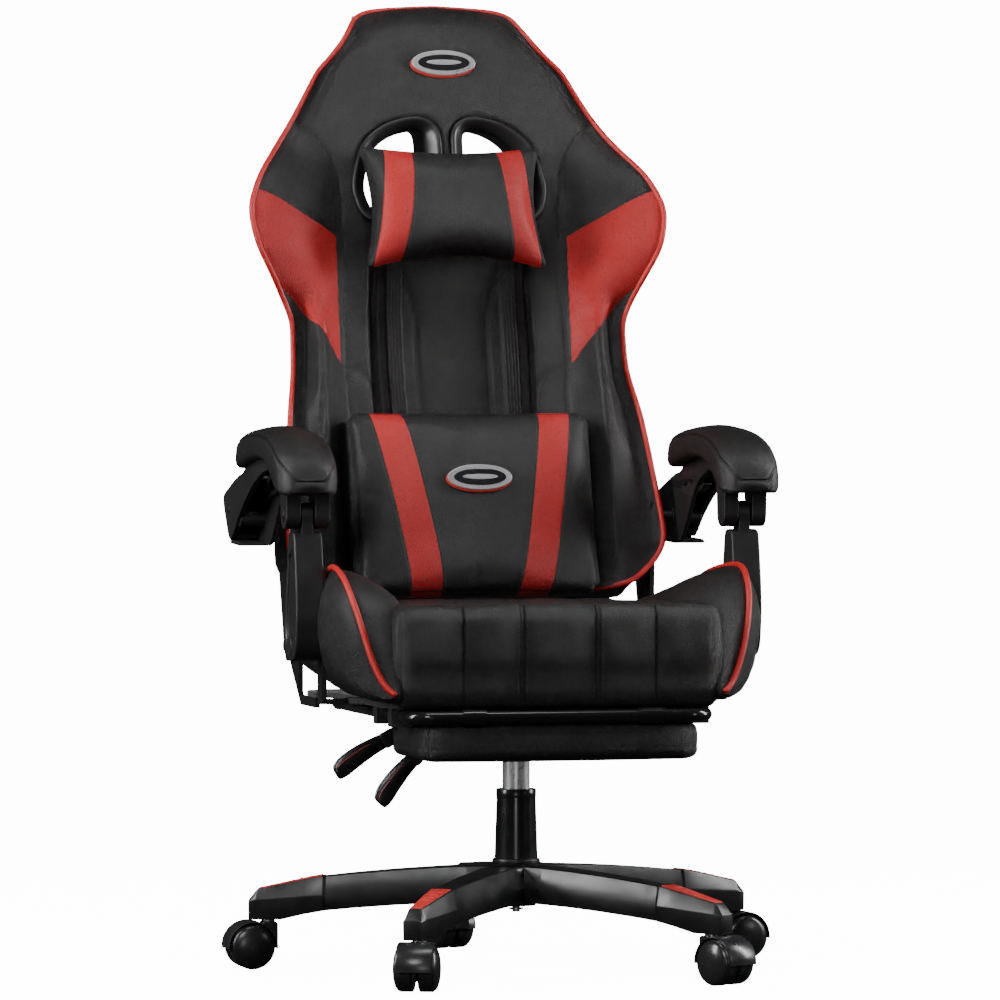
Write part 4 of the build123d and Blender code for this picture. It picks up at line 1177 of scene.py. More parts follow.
def finish_pillow(obj, x, s, stripe, stripe_half, side_seam, name, stitched):
    """Stripe and seam fields, and stitched rows beside the stripes."""
    away = np.abs(np.abs(x) - stripe(s))
    add_field(obj, "panel", stripe_half - away)
    add_field(obj, "seam", np.minimum(np.abs(away - stripe_half) + 0.3, side_seam))
    low, high = stitched
    rows = []
    for sign in (-1, 1):
        for edge in (-1, 1):
            along = np.arange(low, high, 4.0)
            offset = sign * (stripe(along) + edge * (stripe_half + 3.0))
            starts = on_back(offset, along, np.full(len(along), 160.0))
            path, normals = surface_points(obj, starts, -BACK_FORWARD)
            rows.append(stitch_row("stitches", path, normals, pitch=4.6, length=3.2, radius=0.42))
    return join(name, rows)


def build_head_pillow():
    grid, faces = box_surface(spaced(96, 0.25), spaced(66, 0.25), np.array([-1, -0.4, 0.4, 1.0]))
    x, s, d = pillow_points(grid, 121, 84, 499, (14, 13, 20), 63, 5, 10, 2.6)
    pillow = make_object("head_pillow_cover", on_back(x, s, d), faces)
    inflate(pillow, pressure=3.0, cap=7, tension=18)
    relax(pillow, 2)
    now = positions(pillow)
    depth = (now - BACK_FOOT) @ BACK_FORWARD
    too_deep = np.maximum(4.2 - depth, 0)
    now += too_deep[:, None] * BACK_FORWARD
    rim = 1 - np.maximum(np.abs(grid[:, 0]), np.abs(grid[:, 1]))
    pleat = np.exp(-(rim / 0.10) ** 2) * np.exp(-((1 - np.abs(grid[:, 0] * grid[:, 1])) / 0.35) ** 2)
    now += (pleat * ripple(now, 15, 31) * 1.6 * (depth > 5))[:, None] * BACK_FORWARD
    set_positions(pillow, now)
    subdivide(pillow, 1)
    fine = positions(pillow) - BACK_FOOT
    stripe_x = fine[:, 0]
    stripe_s = fine @ BACK_UP
    from_end = np.minimum(118 - np.abs(stripe_x), 30) / 118
    edge_seam = np.abs(fine @ BACK_FORWARD - 9) + 8 * step(0.0, 0.05, from_end - 0.02)
    stitches = finish_pillow(pillow, stripe_x, stripe_s, HEAD_STRIPE, HEAD_STRIPE_HALF,
                             np.maximum(edge_seam, 3), "head_pillow_stitching", (430, 570))
    place(pillow, "head_rest", "black_leather", HIDE)
    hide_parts("head_pillow")
    place(stitches, "head_rest", "stitching", BLACK_THREAD)


def build_lumbar_pillow():
    grid, faces = box_surface(spaced(110, 0.3), spaced(84, 0.3), spaced(18, 0.4))
    w = grid[:, 2]
    half = np.array([160.0, 115.0, 30.0])
    points = soft_shape(grid, half, 15)
    points = round_plan(points, half, 20)
    edge_u = np.clip(np.abs(points[:, 0]) / half[0], 0, 1)
    edge_v = np.clip(np.abs(points[:, 1]) / half[1], 0, 1)
    crown = ((1 - edge_u ** 3.2) * (1 - edge_v ** 3.0)).clip(0, 1) ** 0.7
    depth = -14 + points[:, 2] + np.where(w > 0, 1, 0) * crown * 30 * (points[:, 2] / half[2]).clip(0, 1)
    waist = 1 - 0.012 * (1 - edge_v ** 2)
    x = points[:, 0] * waist
    s = 112 + points[:, 1] * (1 - 0.012 * (1 - edge_u ** 2))
    s = s - 22 * ((depth + 45) / 95).clip(0, 1) * step(0.1, -1, points[:, 1] / half[1])
    pillow = make_object("lumbar_pillow_cover", on_back(x, s, depth), faces)
    held = (w < -0.5)
    inflate(pillow, pressure=3.0, cap=5, pinned=held, tension=20)
    relax(pillow, 1)
    now = positions(pillow)
    level = (now - BACK_FOOT) @ BACK_FORWARD
    now += np.maximum(-45.5 - level, 0)[:, None] * BACK_FORWARD
    rim = half[0] - np.abs(points[:, 0])
    rim = np.minimum(rim, half[1] - np.abs(points[:, 1]))
    seam = np.abs(rim - 3.5) + np.where(points[:, 2] > 6, 0, 12)
    now -= (np.exp(-(seam / 2.0) ** 2) * 1.0)[:, None] * BACK_FORWARD
    now += (ripple(now, 30, 41) * 0.5 * (w > 0))[:, None] * BACK_FORWARD
    set_positions(pillow, now)
    add_field(pillow, "edge", seam)
    subdivide(pillow, 1)
    fine = positions(pillow) - BACK_FOOT
    edge = np.zeros(len(fine), np.float32)
    pillow.data.attributes["edge"].data.foreach_get("value", edge)
    pillow.data.attributes.remove(pillow.data.attributes["edge"])
    stitches = finish_pillow(pillow, fine[:, 0], fine @ BACK_UP, LUMBAR_STRIPE, LUMBAR_STRIPE_HALF, edge,
                             "lumbar_pillow_stitching", (-12, 218))
    place(pillow, "lumbar_rest", "black_leather", HIDE)
    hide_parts("lumbar_pillow")
    place(stitches, "lumbar_rest", "stitching", BLACK_THREAD)


# ---------------------------------------------------------------- badges


def oval(half_wide, half_high, count=48):
    angle = np.linspace(0, 2 * math.pi, count, endpoint=False)
    return np.stack([half_wide * np.cos(angle), half_high * np.sin(angle)], -1)


def badge_layer(outline, low, high, centre_s, surface, bevel, material):
    """A flat raised layer of a badge, laid on the surface under it."""
    vertices = []
    for lift in (low, high):
        starts = on_back(outline[:, 0], centre_s + outline[:, 1], np.full(len(outline), 160.0))
        path, _ = surface_points(surface, starts, -BACK_FORWARD)
        vertices.append(path + lift * BACK_FORWARD)
    count = len(outline)
    faces = [list(range(count)), list(range(2 * count - 1, count - 1, -1))]
    faces += [[k, (k + 1) % count, (k + 1) % count + count, k + count] for k in range(count)]
    layer = make_object("layer", np.concatenate(vertices), faces)
    tidy_normals(layer)
    round_edges(layer, bevel, 2, 40)
    return dress(layer, material)


def build_badge(name, body, centre_s, surface):
    """Plain oval badge: red backing plate, silver plate, and a dark bar across."""
    rows = [(oval(43, 18) + (-0.8, -1.6), -1.5, 2.2, 0.8, RED_PLASTIC),
            (oval(42, 17), 1.0, 4.4, 1.0, BADGE_SILVER),
            (oval(34, 11), 3.0, 4.9, 0.5, SMOOTH_PLASTIC),
            (oval(23, 3.6), 4.0, 6.0, 0.7, BADGE_SILVER)]
    layers = [badge_layer(outline, low, high, centre_s, surface, bevel, material)
              for outline, low, high, bevel, material in rows]
    place(join(name, layers), body, "badge")


# ---------------------------------------------------------------- armrests

ARM_CENTRE_X = 280
ARM_HALF = 39
ARM_TOP = curve((-92, 611), (-89, 624), (-82, 634), (-66, 646), (-40, 658), (0, 667), (60, 671.5),
                (130, 669), (182, 662), (192, 655))
ARM_UNDER = curve((-92, 594), (-86, 590.5), (-72, 591), (-55, 599), (-40, 610), (10, 631), (60, 635),
                  (120, 630), (192, 619))
ARM_SECTION = curve((0, 0.90), (0.10, 0.99), (0.3, 1.0), (0.6, 0.965), (0.76, 0.90), (0.86, 0.80),
                    (0.94, 0.66), (1.0, 0.48))
ARM_NOSE_Y = -92
ARM_TAIL_Y = 192
CREASE_HEIGHT = 0.74
SKIRT_LOW = [(283, 527), (265, 529), (226, 557), (182, 580), (133, 601), (85, 615), (42, 620), (0, 617),
             (-37, 607), (-86, 589)]
PAD_LINE = [(-80, 595), (-55, 602), (-40, 612), (10, 632), (60, 636), (120, 631), (186, 620), (196, 612),
            (210, 604)]
Q_Y, Q_Z = -46, 566
STRUT_FOOT_Y, STRUT_FOOT_Z = -38, 405


def side_prism(name, outline, x_low, x_high, sign, bevel, segments=3):
    """Plate seen from the side, between two distances from the middle."""
    low, high = sorted((sign * x_low, sign * x_high))
    return bevelled_prism(name, outline, low, high, bevel, axis=0, segments=segments)


def disc(y, z, radius, x_low, x_high, sign, bevel=1.0, count=40):
    angle = np.linspace(0, 2 * math.pi, count, endpoint=False)
    ring = np.stack([y + radius * np.cos(angle), z + radius * np.sin(angle)], -1)
    return side_prism("disc", ring, x_low, x_high, sign, bevel)


def build_arm_pad(side, sign):
    nose_steps = [0, 0.004, 0.012, 0.025, 0.045, 0.07, 0.1, 0.13]
    tail_steps = [0.93, 0.955, 0.975, 0.99, 1.0]
    crease_steps = [0.715, 0.725, 0.735, 0.74, 0.745, 0.755, 0.765, 0.78]
    along = np.unique(np.concatenate([nose_steps, np.linspace(0.16, 0.9, 44), tail_steps]))
    tall = np.unique(np.concatenate([np.linspace(0, 0.7, 15), crease_steps, np.linspace(0.8, 1.0, 13)]))
    grid, faces = box_surface(spaced(34, 0.3), along, tall)
    u, v, h = grid.T
    y = ARM_NOSE_Y + v * (ARM_TAIL_Y - ARM_NOSE_Y)
    into_nose = np.clip((y - ARM_NOSE_Y) / 40, 0, 1)
    nose = np.sqrt(np.clip(1 - (1 - into_nose) ** 2.2, 0, 1))
    tail = np.sqrt(np.clip(1 - (1 - np.clip((ARM_TAIL_Y - y) / 26, 0, 1)) ** 2.4, 0, 1))
    plan = (0.50 + 0.50 * nose) * (0.62 + 0.38 * tail)
    widen = 1 + 0.03 * np.exp(-((y + 45) / 40) ** 2)
    section = ARM_SECTION(h)
    x = u * ARM_HALF * plan * widen * section
    low, high = ARM_UNDER(y), ARM_TOP(y)
    z = low + (high - low) * h
    z += np.where(h >= 0.999, 3.2 * (1 - u * u) - 0.5, 0)
    bulge = np.sin(np.clip(h, 0, 1) * math.pi)
    y = y - np.where(v <= 0, 3.0 * bulge * (1 - u * u), 0) + np.where(v >= 1, 3.0 * bulge * (1 - u * u), 0)
    crease = np.abs(h - CREASE_HEIGHT) * (high - low)
    rim = (np.abs(u) >= 0.999) | (v <= 0) | (v >= 1)
    sink = np.where(rim, 1.3 * np.exp(-(crease / 1.5) ** 2), 0)
    x = x - np.sign(u) * sink * (np.abs(u) >= 0.999)
    y = y + sink * (v <= 0) - sink * (v >= 1)
    points = np.stack([x + ARM_CENTRE_X, y, z], -1) * (sign, 1, 1)
    pad = make_object(f"arm_pad_cover_{side}", points, faces)
    tidy_normals(pad)
    # The crease between the pad's top and its sides takes the seam field, so it is painted dark as shade.
    plain_panel(pad, np.where(rim, crease, 20))
    subdivide(pad, 1)
    place(pad, f"arm_{side}", "arm_plastic", ARM_SKIN)
    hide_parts(f"armrest_pad_{side}")


def build_arm_support(side, sign):
    """Moulded shell under the pad: outer skirt, roof, slotted inner wall, rear face and front fork."""
    skirt = PAD_LINE[:-1] + [(214, 612), (252, 603), (322, 583), (318, 572)] + SKIRT_LOW
    parts = [side_prism("skirt", smooth_polygon(skirt, 150), 297, 304.5, sign, 1.6)]
    roof = PAD_LINE[:-1] + [(y, z - 6) for y, z in PAD_LINE[-2::-1]]
    parts.append(side_prism("roof", smooth_polygon(roof, 130), 265, 300, sign, 0.8))
    wall = PAD_LINE[3:-1] + [(214, 612), (250, 603), (318, 584), (283, 523), (215, 521), (193, 526),
                             (172, 545), (150, 568), (128, 590), (100, 607), (60, 618), (20, 618)]
    wall = side_prism("wall", smooth_polygon(wall, 140), 263.8, 269.5, sign, 1.2)
    for low, high in ((134, 148), (156, 174), (182, 199)):
        rise = [(low, 609 - (low - 120) * 0.15), (high, 608 - (high - 120) * 0.18),
                (high + 5, 599 - (high - 120) * 0.12), (low + 5, 601 - (low - 120) * 0.10)]
        hole = side_prism("hole", smooth_polygon(rise, 28), 250, 290, sign, 0.1)
        carve(wall, hole)
    parts.append(wall)
    ledge = [(96, 602), (119, 595), (162, 590), (199, 583), (248, 568), (270, 556), (270, 551), (246, 562),
             (197, 578), (160, 585), (118, 590), (94, 598)]
    parts.append(side_prism("ledge", smooth_polygon(ledge, 90), 268, 278, sign, 1.2))
    rear = [(283, 524), (320, 581), (312, 586), (276, 529)]
    parts.append(side_prism("rear", smooth_polygon(rear, 40), 264, 303, sign, 1.0))
    foot = [(216, 521), (283, 523), (282, 528), (216, 526)]
    parts.append(side_prism("foot", smooth_polygon(foot, 40), 264, 303, sign, 1.0))
    parts.append(disc(235, 556, 11, 262.5, 301, sign, 1.2))
    for low, high in ((249.6, 268.4), (285.6, 304.4)):
        angle = np.radians(np.linspace(-178, -2, 26))
        cheek = np.stack([Q_Y + 17.3 * np.cos(angle), Q_Z + 17.3 * np.sin(angle)], -1).tolist()
        cheek += [(Q_Y + 19, 585), (Q_Y + 22, 606), (Q_Y - 22, 597), (Q_Y - 18, 585)]
        parts.append(side_prism("cheek", cheek, low, high, sign, 1.6))
    parts.append(disc(Q_Y, Q_Z, 8.5, 304, 305.6, sign, 0.6))
    filler = [(214, 612), (250, 603), (318, 584), (312, 578), (246, 596), (208, 604)]
    parts.append(side_prism("filler", smooth_polygon(filler, 60), 266, 300, sign, 1.0))
    shell = join(f"arm_shell_{side}", parts)
    place(shell, f"arm_{side}", "arm_plastic", ARM_PLASTIC)
    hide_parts(f"armrest_support_{side}")
    bolts = [disc(283, 566, 6.2, 303.5, 305.4, sign, 0.7), disc(Q_Y, Q_Z, 5.0, 305, 307, sign, 0.8),
             disc(Q_Y, Q_Z, 5.6, 262, 291, sign, 0.4)]
    place(join(f"arm_bolts_{side}", bolts), f"arm_{side}", "black_steel", BLACK_STEEL)


def build_strut(side, sign):
    """Swinging front strut: squared shoulders, narrow tongue up into the fork, bolted foot."""
    y, z = STRUT_FOOT_Y, STRUT_FOOT_Z
    blade = [(y - 33, z - 2), (y - 22, z - 15), (y, z - 19), (y + 24, z - 13), (y + 33, z + 2),
             (y + 33, z + 20), (y + 26, z + 60), (y + 15, z + 104), (y + 9, z + 138), (y + 8, z + 141),
             (y + 4, z + 141), (y - 18, z + 141), (y - 22, z + 141), (y - 24, z + 138), (y - 31, z + 104),
             (y - 37, z + 70), (y - 39, z + 36)]
    body = side_prism("blade", smooth_polygon(blade, 90), 259, 295, sign, 2.6)
    pocket = [(y + 0.62 * (py - y), z + 50 + 0.70 * (pz - z - 50)) for py, pz in blade]
    carve(body, side_prism("pocket", smooth_polygon(pocket, 70), 292.4, 300, sign, 0.8))
    tongue = [(Q_Y - 13, z + 132), (Q_Y + 15, z + 132), (Q_Y + 14, Q_Z - 12)]
    angle = np.radians(np.linspace(-20, 200, 24))
    tongue += np.stack([Q_Y + 15 * np.cos(angle), Q_Z + 15 * np.sin(angle)], -1).tolist()
    tongue += [(Q_Y - 14, Q_Z - 12)]
    parts = [body, side_prism("tongue", tongue, 269.8, 284.2, sign, 1.4)]
    rib = [(y - 20, z + 30), (y - 14, z + 30), (y - 12, z + 110), (y - 18, z + 110)]
    parts.append(side_prism("rib", smooth_polygon(rib, 30), 291, 294.2, sign, 0.8))
    parts.append(disc(y, z, 13, 292, 296, sign, 1.0))
    strut = join(f"strut_cover_{side}", parts)
    place(strut, f"strut_{side}", "arm_plastic", ARM_PLASTIC)
    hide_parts(f"armrest_strut_{side}")


# ---------------------------------------------------------------- levers


def build_lever(name, start, end, y, body, droop):
    """Curved paddle grip with a dark red inset along its upper edge, and a sleeve at its root."""
    start = np.array([start[0], y, start[1]], float)
    end = np.array([end[0], y, end[1]], float)
    run = end - start
    length = np.linalg.norm(run)
    along = run / length
    over = np.array([along[2], 0, -along[0]])
    over *= np.sign(over[2])
    widths = curve((0, 9.5), (0.2, 10.5), (0.6, 13), (0.85, 13.5), (1, 9.0))
    rings = []
    inset = []
    for t in (0.0, 0.1, 0.3, 0.5, 0.7, 0.85, 0.95, 1.0):
        centre = start + along * length * t + over * droop * (4 * t * (1 - t) - 1.6 * t * t)
        half = float(widths(t))
        rings.append([centre + over * half * a + np.array([0, -1, 0]) * b
                      for a, b in ((-1, -3), (-1, 3.5), (0, 6.2), (1, 3.5), (1, -3), (0, -5.4))])
        if 0.18 < t < 0.97:
            inset.append(centre + over * half * 0.42 + np.array([0, -1, 0]) * 5.2)
    grip, _ = cage_surface(f"{name}_paddle", rings, levels=3)
    place(grip, body, "arm_plastic", SMOOTH_PLASTIC)
    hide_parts(f"{name}_grip")
    line = smooth_line(inset, 40, rounds=1)
    place(tube(f"{name}_inset", line, 2.9, sides=10, flat=0.42), body, "red_plastic", DARK_RED)
    root = start - along * 4
    sleeve = [root - along * 11 + over * 9, root - along * 11 - over * 9, root + along * 14 - over * 10,
              root + along * 14 + over * 10]
    outline = [(point[0], point[2]) for point in sleeve]
    block = bevelled_prism(f"{name}_sleeve", smooth_polygon(outline, 44), y - 6.3, y + 6.3, 1.4, axis=1)
    place(block, body, "arm_plastic", DARK_PLASTIC)


# ---------------------------------------------------------------- star base and casters

STAR_ARMS = 5
FIRST_ARM = 90
STEM_RADIUS_OUT = 309
CASTER_TRAIL = 23
CASTER_TURN = (110, 180, 249, 300, 6)
WHEEL_RADIUS = 28

# Sections of one star arm: distance out, then (half width, height) at bottom, side ridge and top edge
ARM_SECTIONS = [
    (10, (25, 86), (27, 104), (22, 130.5)),
    (60, (25, 85), (26.5, 103), (21, 129.5)),
    (100, (23.5, 83.5), (25, 101), (19, 127.4)),
    (150, (21, 80.5), (22.5, 98), (17, 124)),
    (200, (18.5, 76.5), (20, 94.5), (15, 119.5)),
    (236, (16.8, 73.0), (18.0, 92), (13.0, 115.6)),
    (239, (18.6, 72.6), (20.2, 92), (14.6, 116.0)),
    (262, (17.2, 68.4), (18.8, 90.5), (13.2, 111.6)),
    (292, (15.2, 61.2), (16.4, 88), (10.8, 105)),
    (322, (12.8, 61.0), (13.6, 86), (8.4, 98.6)),
    (332.5, (11.6, 61.2), (12.2, 84), (8.8, 85.5)),
]
INSERT_SECTIONS = [(241, 13.0, 117.0), (262, 11.8, 112.9), (292, 9.6, 106.3), (321, 7.4, 99.9)]


def star_arm_mesh():
    rings = []
    for out, bottom, ridge, top in ARM_SECTIONS:
        rings.append([(out, -bottom[0], bottom[1]), (out, -ridge[0], ridge[1]), (out, -top[0], top[1]),
                      (out, top[0], top[1]), (out, ridge[0], ridge[1]), (out, bottom[0], bottom[1])])
    rings = np.array(rings, float)
    count, around = rings.shape[:2]
    arm = make_object("star_arm", rings.reshape(-1, 3), ring_faces(count, around))
    tidy_normals(arm)
    round_edges(arm, 1.1, 3, 18)
    return arm


def lathe(name, profile, count=64, axis=2, centre=(0, 0, 0)):
    """Turned shape from (radius, height) points; closes on itself."""
    angle = np.linspace(0, 2 * math.pi, count, endpoint=False)
    rings = []
    for radius, height in profile:
        ring = np.zeros((count, 3))
        ring[:, (axis + 1) % 3] = radius * np.cos(angle)
        ring[:, (axis + 2) % 3] = radius * np.sin(angle)
        ring[:, axis] = height
        rings.append(ring + centre)
    obj = make_object(name, np.concatenate(rings), ring_faces(len(profile), count, closed=True))
    tidy_normals(obj)
    obj.data.set_sharp_from_angle(angle=math.radians(35))
    return obj


def turn_about_z(obj, degrees, offset=(0, 0)):
    """Turn a mesh's points about the upright axis, then shift them."""
    points = positions(obj)
    angle = math.radians(degrees)
    x = points[:, 0] * math.cos(angle) - points[:, 1] * math.sin(angle) + offset[0]
    y = points[:, 0] * math.sin(angle) + points[:, 1] * math.cos(angle) + offset[1]
    set_positions(obj, np.stack([x, y, points[:, 2]], -1))
    return obj


def copy_of(obj):
    twin = bpy.data.objects.new(obj.name, obj.data.copy())
    bpy.context.scene.collection.objects.link(twin)
    return twin


def build_star_base():
    hub = lathe("hub", [(25.2, 84), (36.5, 84), (39, 86.5), (39.5, 100), (38.5, 126), (35.5, 131.5),
                        (33, 133), (27.6, 133.2), (25.2, 131)], count=72)
    pattern = star_arm_mesh()
    for number in range(STAR_ARMS):
        arm = turn_about_z(copy_of(pattern), FIRST_ARM + 72 * number)
        carve(hub, arm, "UNION")
    bpy.data.objects.remove(pattern)
    core = lathe("core", [(0.5, 60), (25.3, 60), (25.3, 140), (0.5, 140)], count=72)
    carve(hub, core)
    smooth_shading(hub, 24)
    hub.name = "star_base_shell"
    place(hub, "base", "base_plastic", BASE_PLASTIC)
    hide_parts("star_base")


def build_inserts():
    outs, halves, heights = zip(*INSERT_SECTIONS)
    plates = []
    for number in range(STAR_ARMS):
        pieces = []
        rings = []
        for out, half, height in INSERT_SECTIONS:
            rings.append([(out, -half, height - 3), (out, -half, height), (out, half, height),
                          (out, half, height - 3)])
        plate = make_object("plate", np.concatenate(rings), ring_faces(len(rings), 4))
        tidy_normals(plate)
        round_edges(plate, 0.7, 2, 30)
        pieces.append(plate)
        for out in np.arange(256, 300, 11.0):
            height = float(np.interp(out, outs, heights))
            half = float(np.interp(out, outs, halves)) - 4.4
            bar = [(out - 1.6, -half), (out + 1.6, -half), (out + 1.6, half), (out - 1.6, half)]
            pieces.append(bevelled_prism("bar", bar, height - 1, height + 0.6, 0.4, axis=2, segments=2))
        for piece in pieces:
            turn_about_z(piece, FIRST_ARM + 72 * number)
        plates += pieces
    inserts = join("star_inserts", plates)
    place(inserts, "base", "red_plastic", RED_PLASTIC)
    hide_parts("base_arm_inserts")


def hood_band(low_deg, high_deg, inner, outer, half_width):
    """Curved cover over the wheels, with rounded rims."""
    angles = np.radians(np.linspace(low_deg, high_deg, 34))
    section = [(inner, -half_width), (outer - 1.2, -half_width - 1.2), (outer, -half_width + 1.0),
               (outer, half_width - 1.0), (outer - 1.2, half_width + 1.2), (inner, half_width), (inner, 0)]
    rings = []
    for angle in angles:
        rings.append([(CASTER_TRAIL + radius * math.cos(angle), side, WHEEL_RADIUS + radius * math.sin(angle))
                      for radius, side in section])
    rings = np.array(rings)
    count, around = rings.shape[:2]
    band = make_object("hood", rings.reshape(-1, 3), ring_faces(count, around))
    tidy_normals(band)
    band.data.set_sharp_from_angle(angle=math.radians(40))
    return band


def build_casters():
    wheel_profile = [(4.2, 3.6), (26.2, 3.6), (27.6, 4.4), (28.0, 6), (28.0, 19.6), (27.6, 20.8),
                     (26.6, 21.4), (26.3, 21.9), (25.4, 23.3), (22, 25.3), (17, 26.9), (11, 27.9),
                     (5, 28.4), (1.0, 28.5), (1.0, 27), (4.2, 26)]
    for number in range(STAR_ARMS):
        angle = math.radians(FIRST_ARM + 72 * number)
        stem = (STEM_RADIUS_OUT * math.cos(angle), STEM_RADIUS_OUT * math.sin(angle))
        turn = CASTER_TURN[number]
        caster = f"caster_{number + 1}"
        for letter, sign in (("a", 1), ("b", -1)):
            profile = [(radius, sign * height) for radius, height in wheel_profile]
            wheel = lathe(f"{caster}_wheel_cover_{letter}", profile, count=56, axis=1,
                          centre=(CASTER_TRAIL, 0, WHEEL_RADIUS))
            dress(wheel, CASTER_PLASTIC, TREAD)
            middles = np.array([polygon.center[:] for polygon in wheel.data.polygons]) / MM
            out = np.hypot(middles[:, 0] - CASTER_TRAIL, middles[:, 2] - WHEEL_RADIUS)
            on_tread = (out > 27.2) & (np.abs(middles[:, 1]) < 21)
            wheel.data.polygons.foreach_set("material_index", on_tread.astype(int))
            turn_about_z(wheel, turn, stem)
            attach(wheel, f"{caster}_roller_{letter}")
            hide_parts(f"{caster}_wheel_{letter}")
        web_angle = np.radians(np.linspace(-28, 208, 60))
        web = [(CASTER_TRAIL + 30.4 * math.cos(a), WHEEL_RADIUS + 30.4 * math.sin(a)) for a in web_angle]
        inner_angle = np.radians(np.linspace(178, 118, 12))
        post = [(-10.8, 27), (-10.8, 56), (-8.5, 58.5), (8, 58.5)]
        post += [(CASTER_TRAIL + 29.6 * math.cos(a), WHEEL_RADIUS + 29.6 * math.sin(a))
                 for a in inner_angle[::-1]]
        boss = [(5.7, 49.5), (9.6, 49.5), (10.2, 51), (10.2, 57), (9.4, 58.2), (5.7, 58.2)]
        axle = [(0.5, -27.5), (3.9, -27.5), (3.9, 27.5), (0.5, 27.5)]
        parts = [bevelled_prism("web", web, -2.6, 2.6, 0.6, axis=1), hood_band(-4, 184, 29.2, 31.8, 21.5),
                 bevelled_prism("post", post, -11, 11, 1.0, axis=1), lathe("boss", boss, count=36),
                 lathe("axle", axle, count=24, axis=1, centre=(CASTER_TRAIL, 0, WHEEL_RADIUS))]
        for part in parts:
            turn_about_z(part, turn, stem)
        fork = join(f"{caster}_fork_cover", parts)
        place(fork, caster, "caster_plastic", CASTER_PLASTIC)
        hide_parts(f"{caster}_fork")


def build_lift_trim():
    """Raised collars at the column's top and foot."""
    collar = lathe("column_collar", [(24.2, 214), (24.7, 214.4), (24.9, 216), (24.9, 223.6), (24.2, 224.8),
                                     (21.0, 225.2), (19.0, 224.4), (19.0, 222), (23.6, 214)], count=64)
    place(collar, "base", "base_plastic", SMOOTH_PLASTIC)
    foot = lathe("column_foot", [(27.0, 133.4), (29.6, 133.4), (30, 135), (29.2, 138), (27.0, 139)], count=64)
    place(foot, "base", "base_plastic", BASE_PLASTIC)


# ---------------------------------------------------------------- camera, floor and light

CAMERA_PLACE = Vector((-2.09541, -8.40424, 0.75533))
CAMERA_AIM = Vector((0.23964, 0.97066, -0.02001))
FLOOR_HALF = 20000
FLOOR_Z = -1.0
BACKDROP_RADIUS = 19000
STAGE_GLOW = 14.0


def build_camera():
    data = bpy.data.cameras.new("camera")
    data.lens = 252
    data.sensor_width = 36
    data.clip_end = 60
    camera = bpy.data.objects.new("camera", data)
    camera.location = CAMERA_PLACE
    camera.rotation_euler = CAMERA_AIM.to_track_quat("-Z", "Y").to_euler()
    bpy.context.scene.collection.objects.link(camera)
    bpy.context.scene.camera = camera


def soft_light(name, place, aim, width, height, power):
    data = bpy.data.lights.new(name, "AREA")
    data.shape = "RECTANGLE"
    data.size = width
    data.size_y = height
    data.energy = power
    light = bpy.data.objects.new(name, data)
    light.location = place
    light.rotation_euler = (Vector(aim) - Vector(place)).to_track_quat("-Z", "Y").to_euler()
    bpy.context.scene.collection.objects.link(light)


def unlit_by(obj):
    """Keep a stage piece out of reflections and bounced light."""
    obj.visible_glossy = False
    obj.visible_diffuse = False
    obj.visible_transmission = False


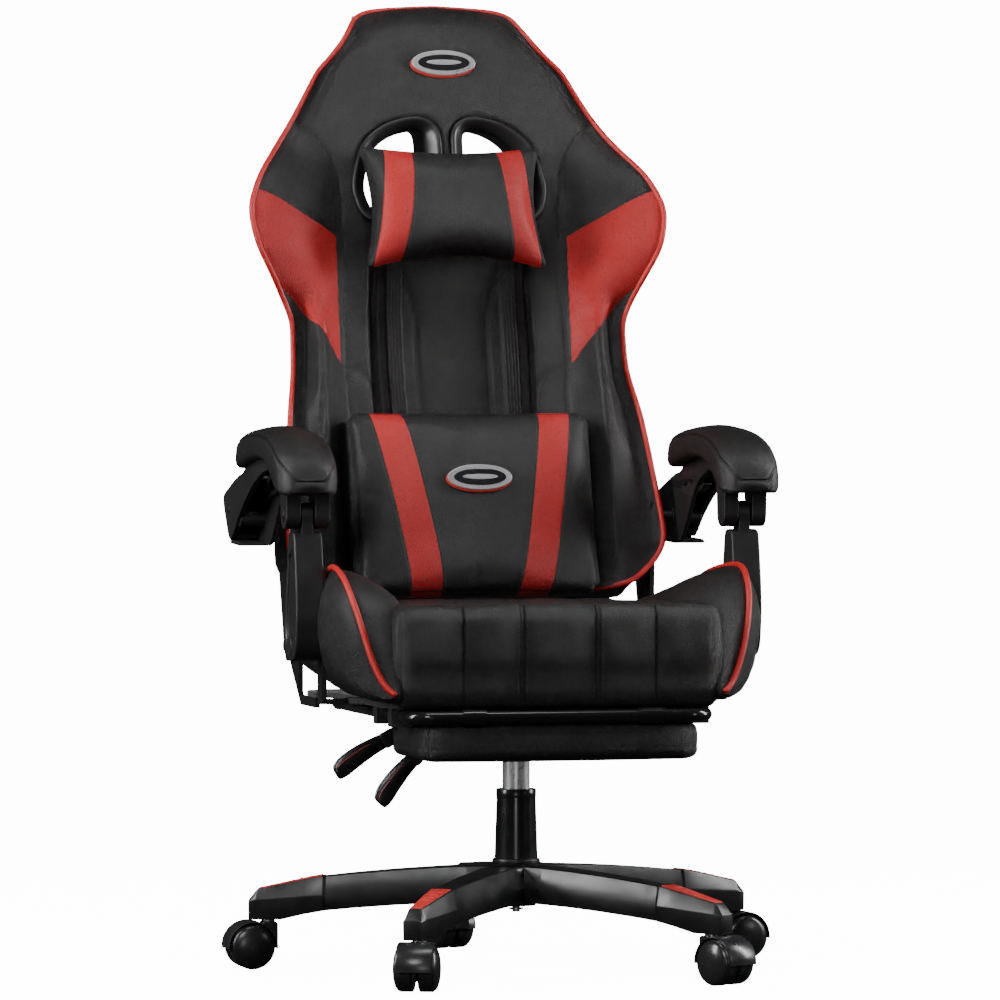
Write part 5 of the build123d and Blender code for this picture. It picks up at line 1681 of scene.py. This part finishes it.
def build_stage():
    corners = [(-FLOOR_HALF, -FLOOR_HALF), (FLOOR_HALF, -FLOOR_HALF), (FLOOR_HALF, FLOOR_HALF),
               (-FLOOR_HALF, FLOOR_HALF)]
    floor = make_object("studio_floor", [(x, y, FLOOR_Z) for x, y in corners], [[0, 1, 2, 3]])
    dress(floor, stage_finish("studio_floor", STAGE_GLOW))
    count = 64
    angle = np.linspace(0, 2 * math.pi, count, endpoint=False)
    ring = BACKDROP_RADIUS * np.stack([np.cos(angle), np.sin(angle)], -1)
    heights = (FLOOR_Z, BACKDROP_RADIUS)
    wall = np.vstack([np.column_stack([ring, np.full(count, height)]) for height in heights])
    faces = [[k, count + k, count + (k + 1) % count, (k + 1) % count] for k in range(count)]
    faces.append([count + k for k in range(count)])
    backdrop = make_object("studio_backdrop", wall, faces)
    dress(backdrop, stage_finish("studio_backdrop", STAGE_GLOW))
    for piece in (floor, backdrop):
        unlit_by(piece)
    backdrop.visible_shadow = False
    world = bpy.data.worlds.new("studio")
    world.use_nodes = True
    world.node_tree.nodes["Background"].inputs["Color"].default_value = (1, 1, 1, 1)
    world.node_tree.nodes["Background"].inputs["Strength"].default_value = 0.03
    bpy.context.scene.world = world
    soft_light("key", (-2.0, -3.6, 2.6), (0, 0, 0.75), 0.8, 1.2, 60)
    soft_light("fill", (2.6, -3.2, 1.4), (0, 0, 0.6), 0.7, 1.0, 12)
    soft_light("top", (0.0, -0.6, 3.2), (0, 0, 0.6), 1.5, 0.6, 26)
    soft_light("low", (-0.9, -3.4, 0.42), (0, 0, 0.24), 0.3, 0.2, 7)
    soft_light("left_rim", (-2.4, -0.2, 1.5), (0, 0.1, 0.8), 0.35, 1.8, 72)
    soft_light("right_rim", (2.4, -0.2, 1.4), (0, 0.1, 0.8), 0.35, 1.8, 66)


# ---------------------------------------------------------------- CAD nodes that stay in view

NODE_MATERIALS = {
    "base_plastic": BASE_PLASTIC, "red_plastic": RED_PLASTIC, "bright_steel": STEEL, "chrome": CHROME,
    "black_steel": BLACK_STEEL, "gloss_black_tube": GLOSS_STEEL, "nylon_bush": BUSH,
    "caster_plastic": CASTER_PLASTIC, "caster_tread": TREAD, "arm_plastic": ARM_PLASTIC,
    "bezel_plastic": BEZEL_PLASTIC, "seat_board": BOARD,
    "black_leather": HIDE, "back_leather": HIDE, "red_leather": RED_CORD, "stitching": BLACK_THREAD,
    "badge": BADGE_SILVER, "elastic": ELASTIC,
}
NODE_OVERRIDES = {"gas_lift_housing": GLOSS_PLASTIC, "footrest_hinge_clips": GLOSS_STEEL,
                  "arm_pivot_pins": BLACK_STEEL, "seat_pivot_pins": BLACK_STEEL}


def dress_nodes():
    """Give every CAD node the procedural material of its finish slot."""
    for name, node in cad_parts.items():
        for slot in node.material_slots:
            key = slot.material.name.split(".")[0] if slot.material else ""
            slot.material = NODE_OVERRIDES.get(name) or NODE_MATERIALS.get(key, DARK_PLASTIC)


# ---------------------------------------------------------------- assembly

build_camera()
build_stage()
dress_nodes()
build_backrest()
build_back_piping()
build_seat_cushion()
build_seat_board()
build_footrest_pad()
build_head_pillow()
build_lumbar_pillow()
build_badge("back_badge", "back", 694, bpy.data.objects["backrest"])
build_badge("lumbar_badge", "lumbar_rest", 128, bpy.data.objects["lumbar_pillow_cover"])
for side_name, side_sign in SIDES:
    window_bezel(side_name, side_sign)
    build_bolster(side_name, side_sign)
    build_arm_pad(side_name, side_sign)
    build_arm_support(side_name, side_sign)
    build_strut(side_name, side_sign)
build_lever("height_lever", (-150, 286), (-220, 246), 52, "height_lever", 2.5)
build_lever("recline_lever", (-128, 268), (-179, 211), -8, "recline_lever", 2.5)
build_star_base()
build_inserts()
build_casters()
build_lift_trim()
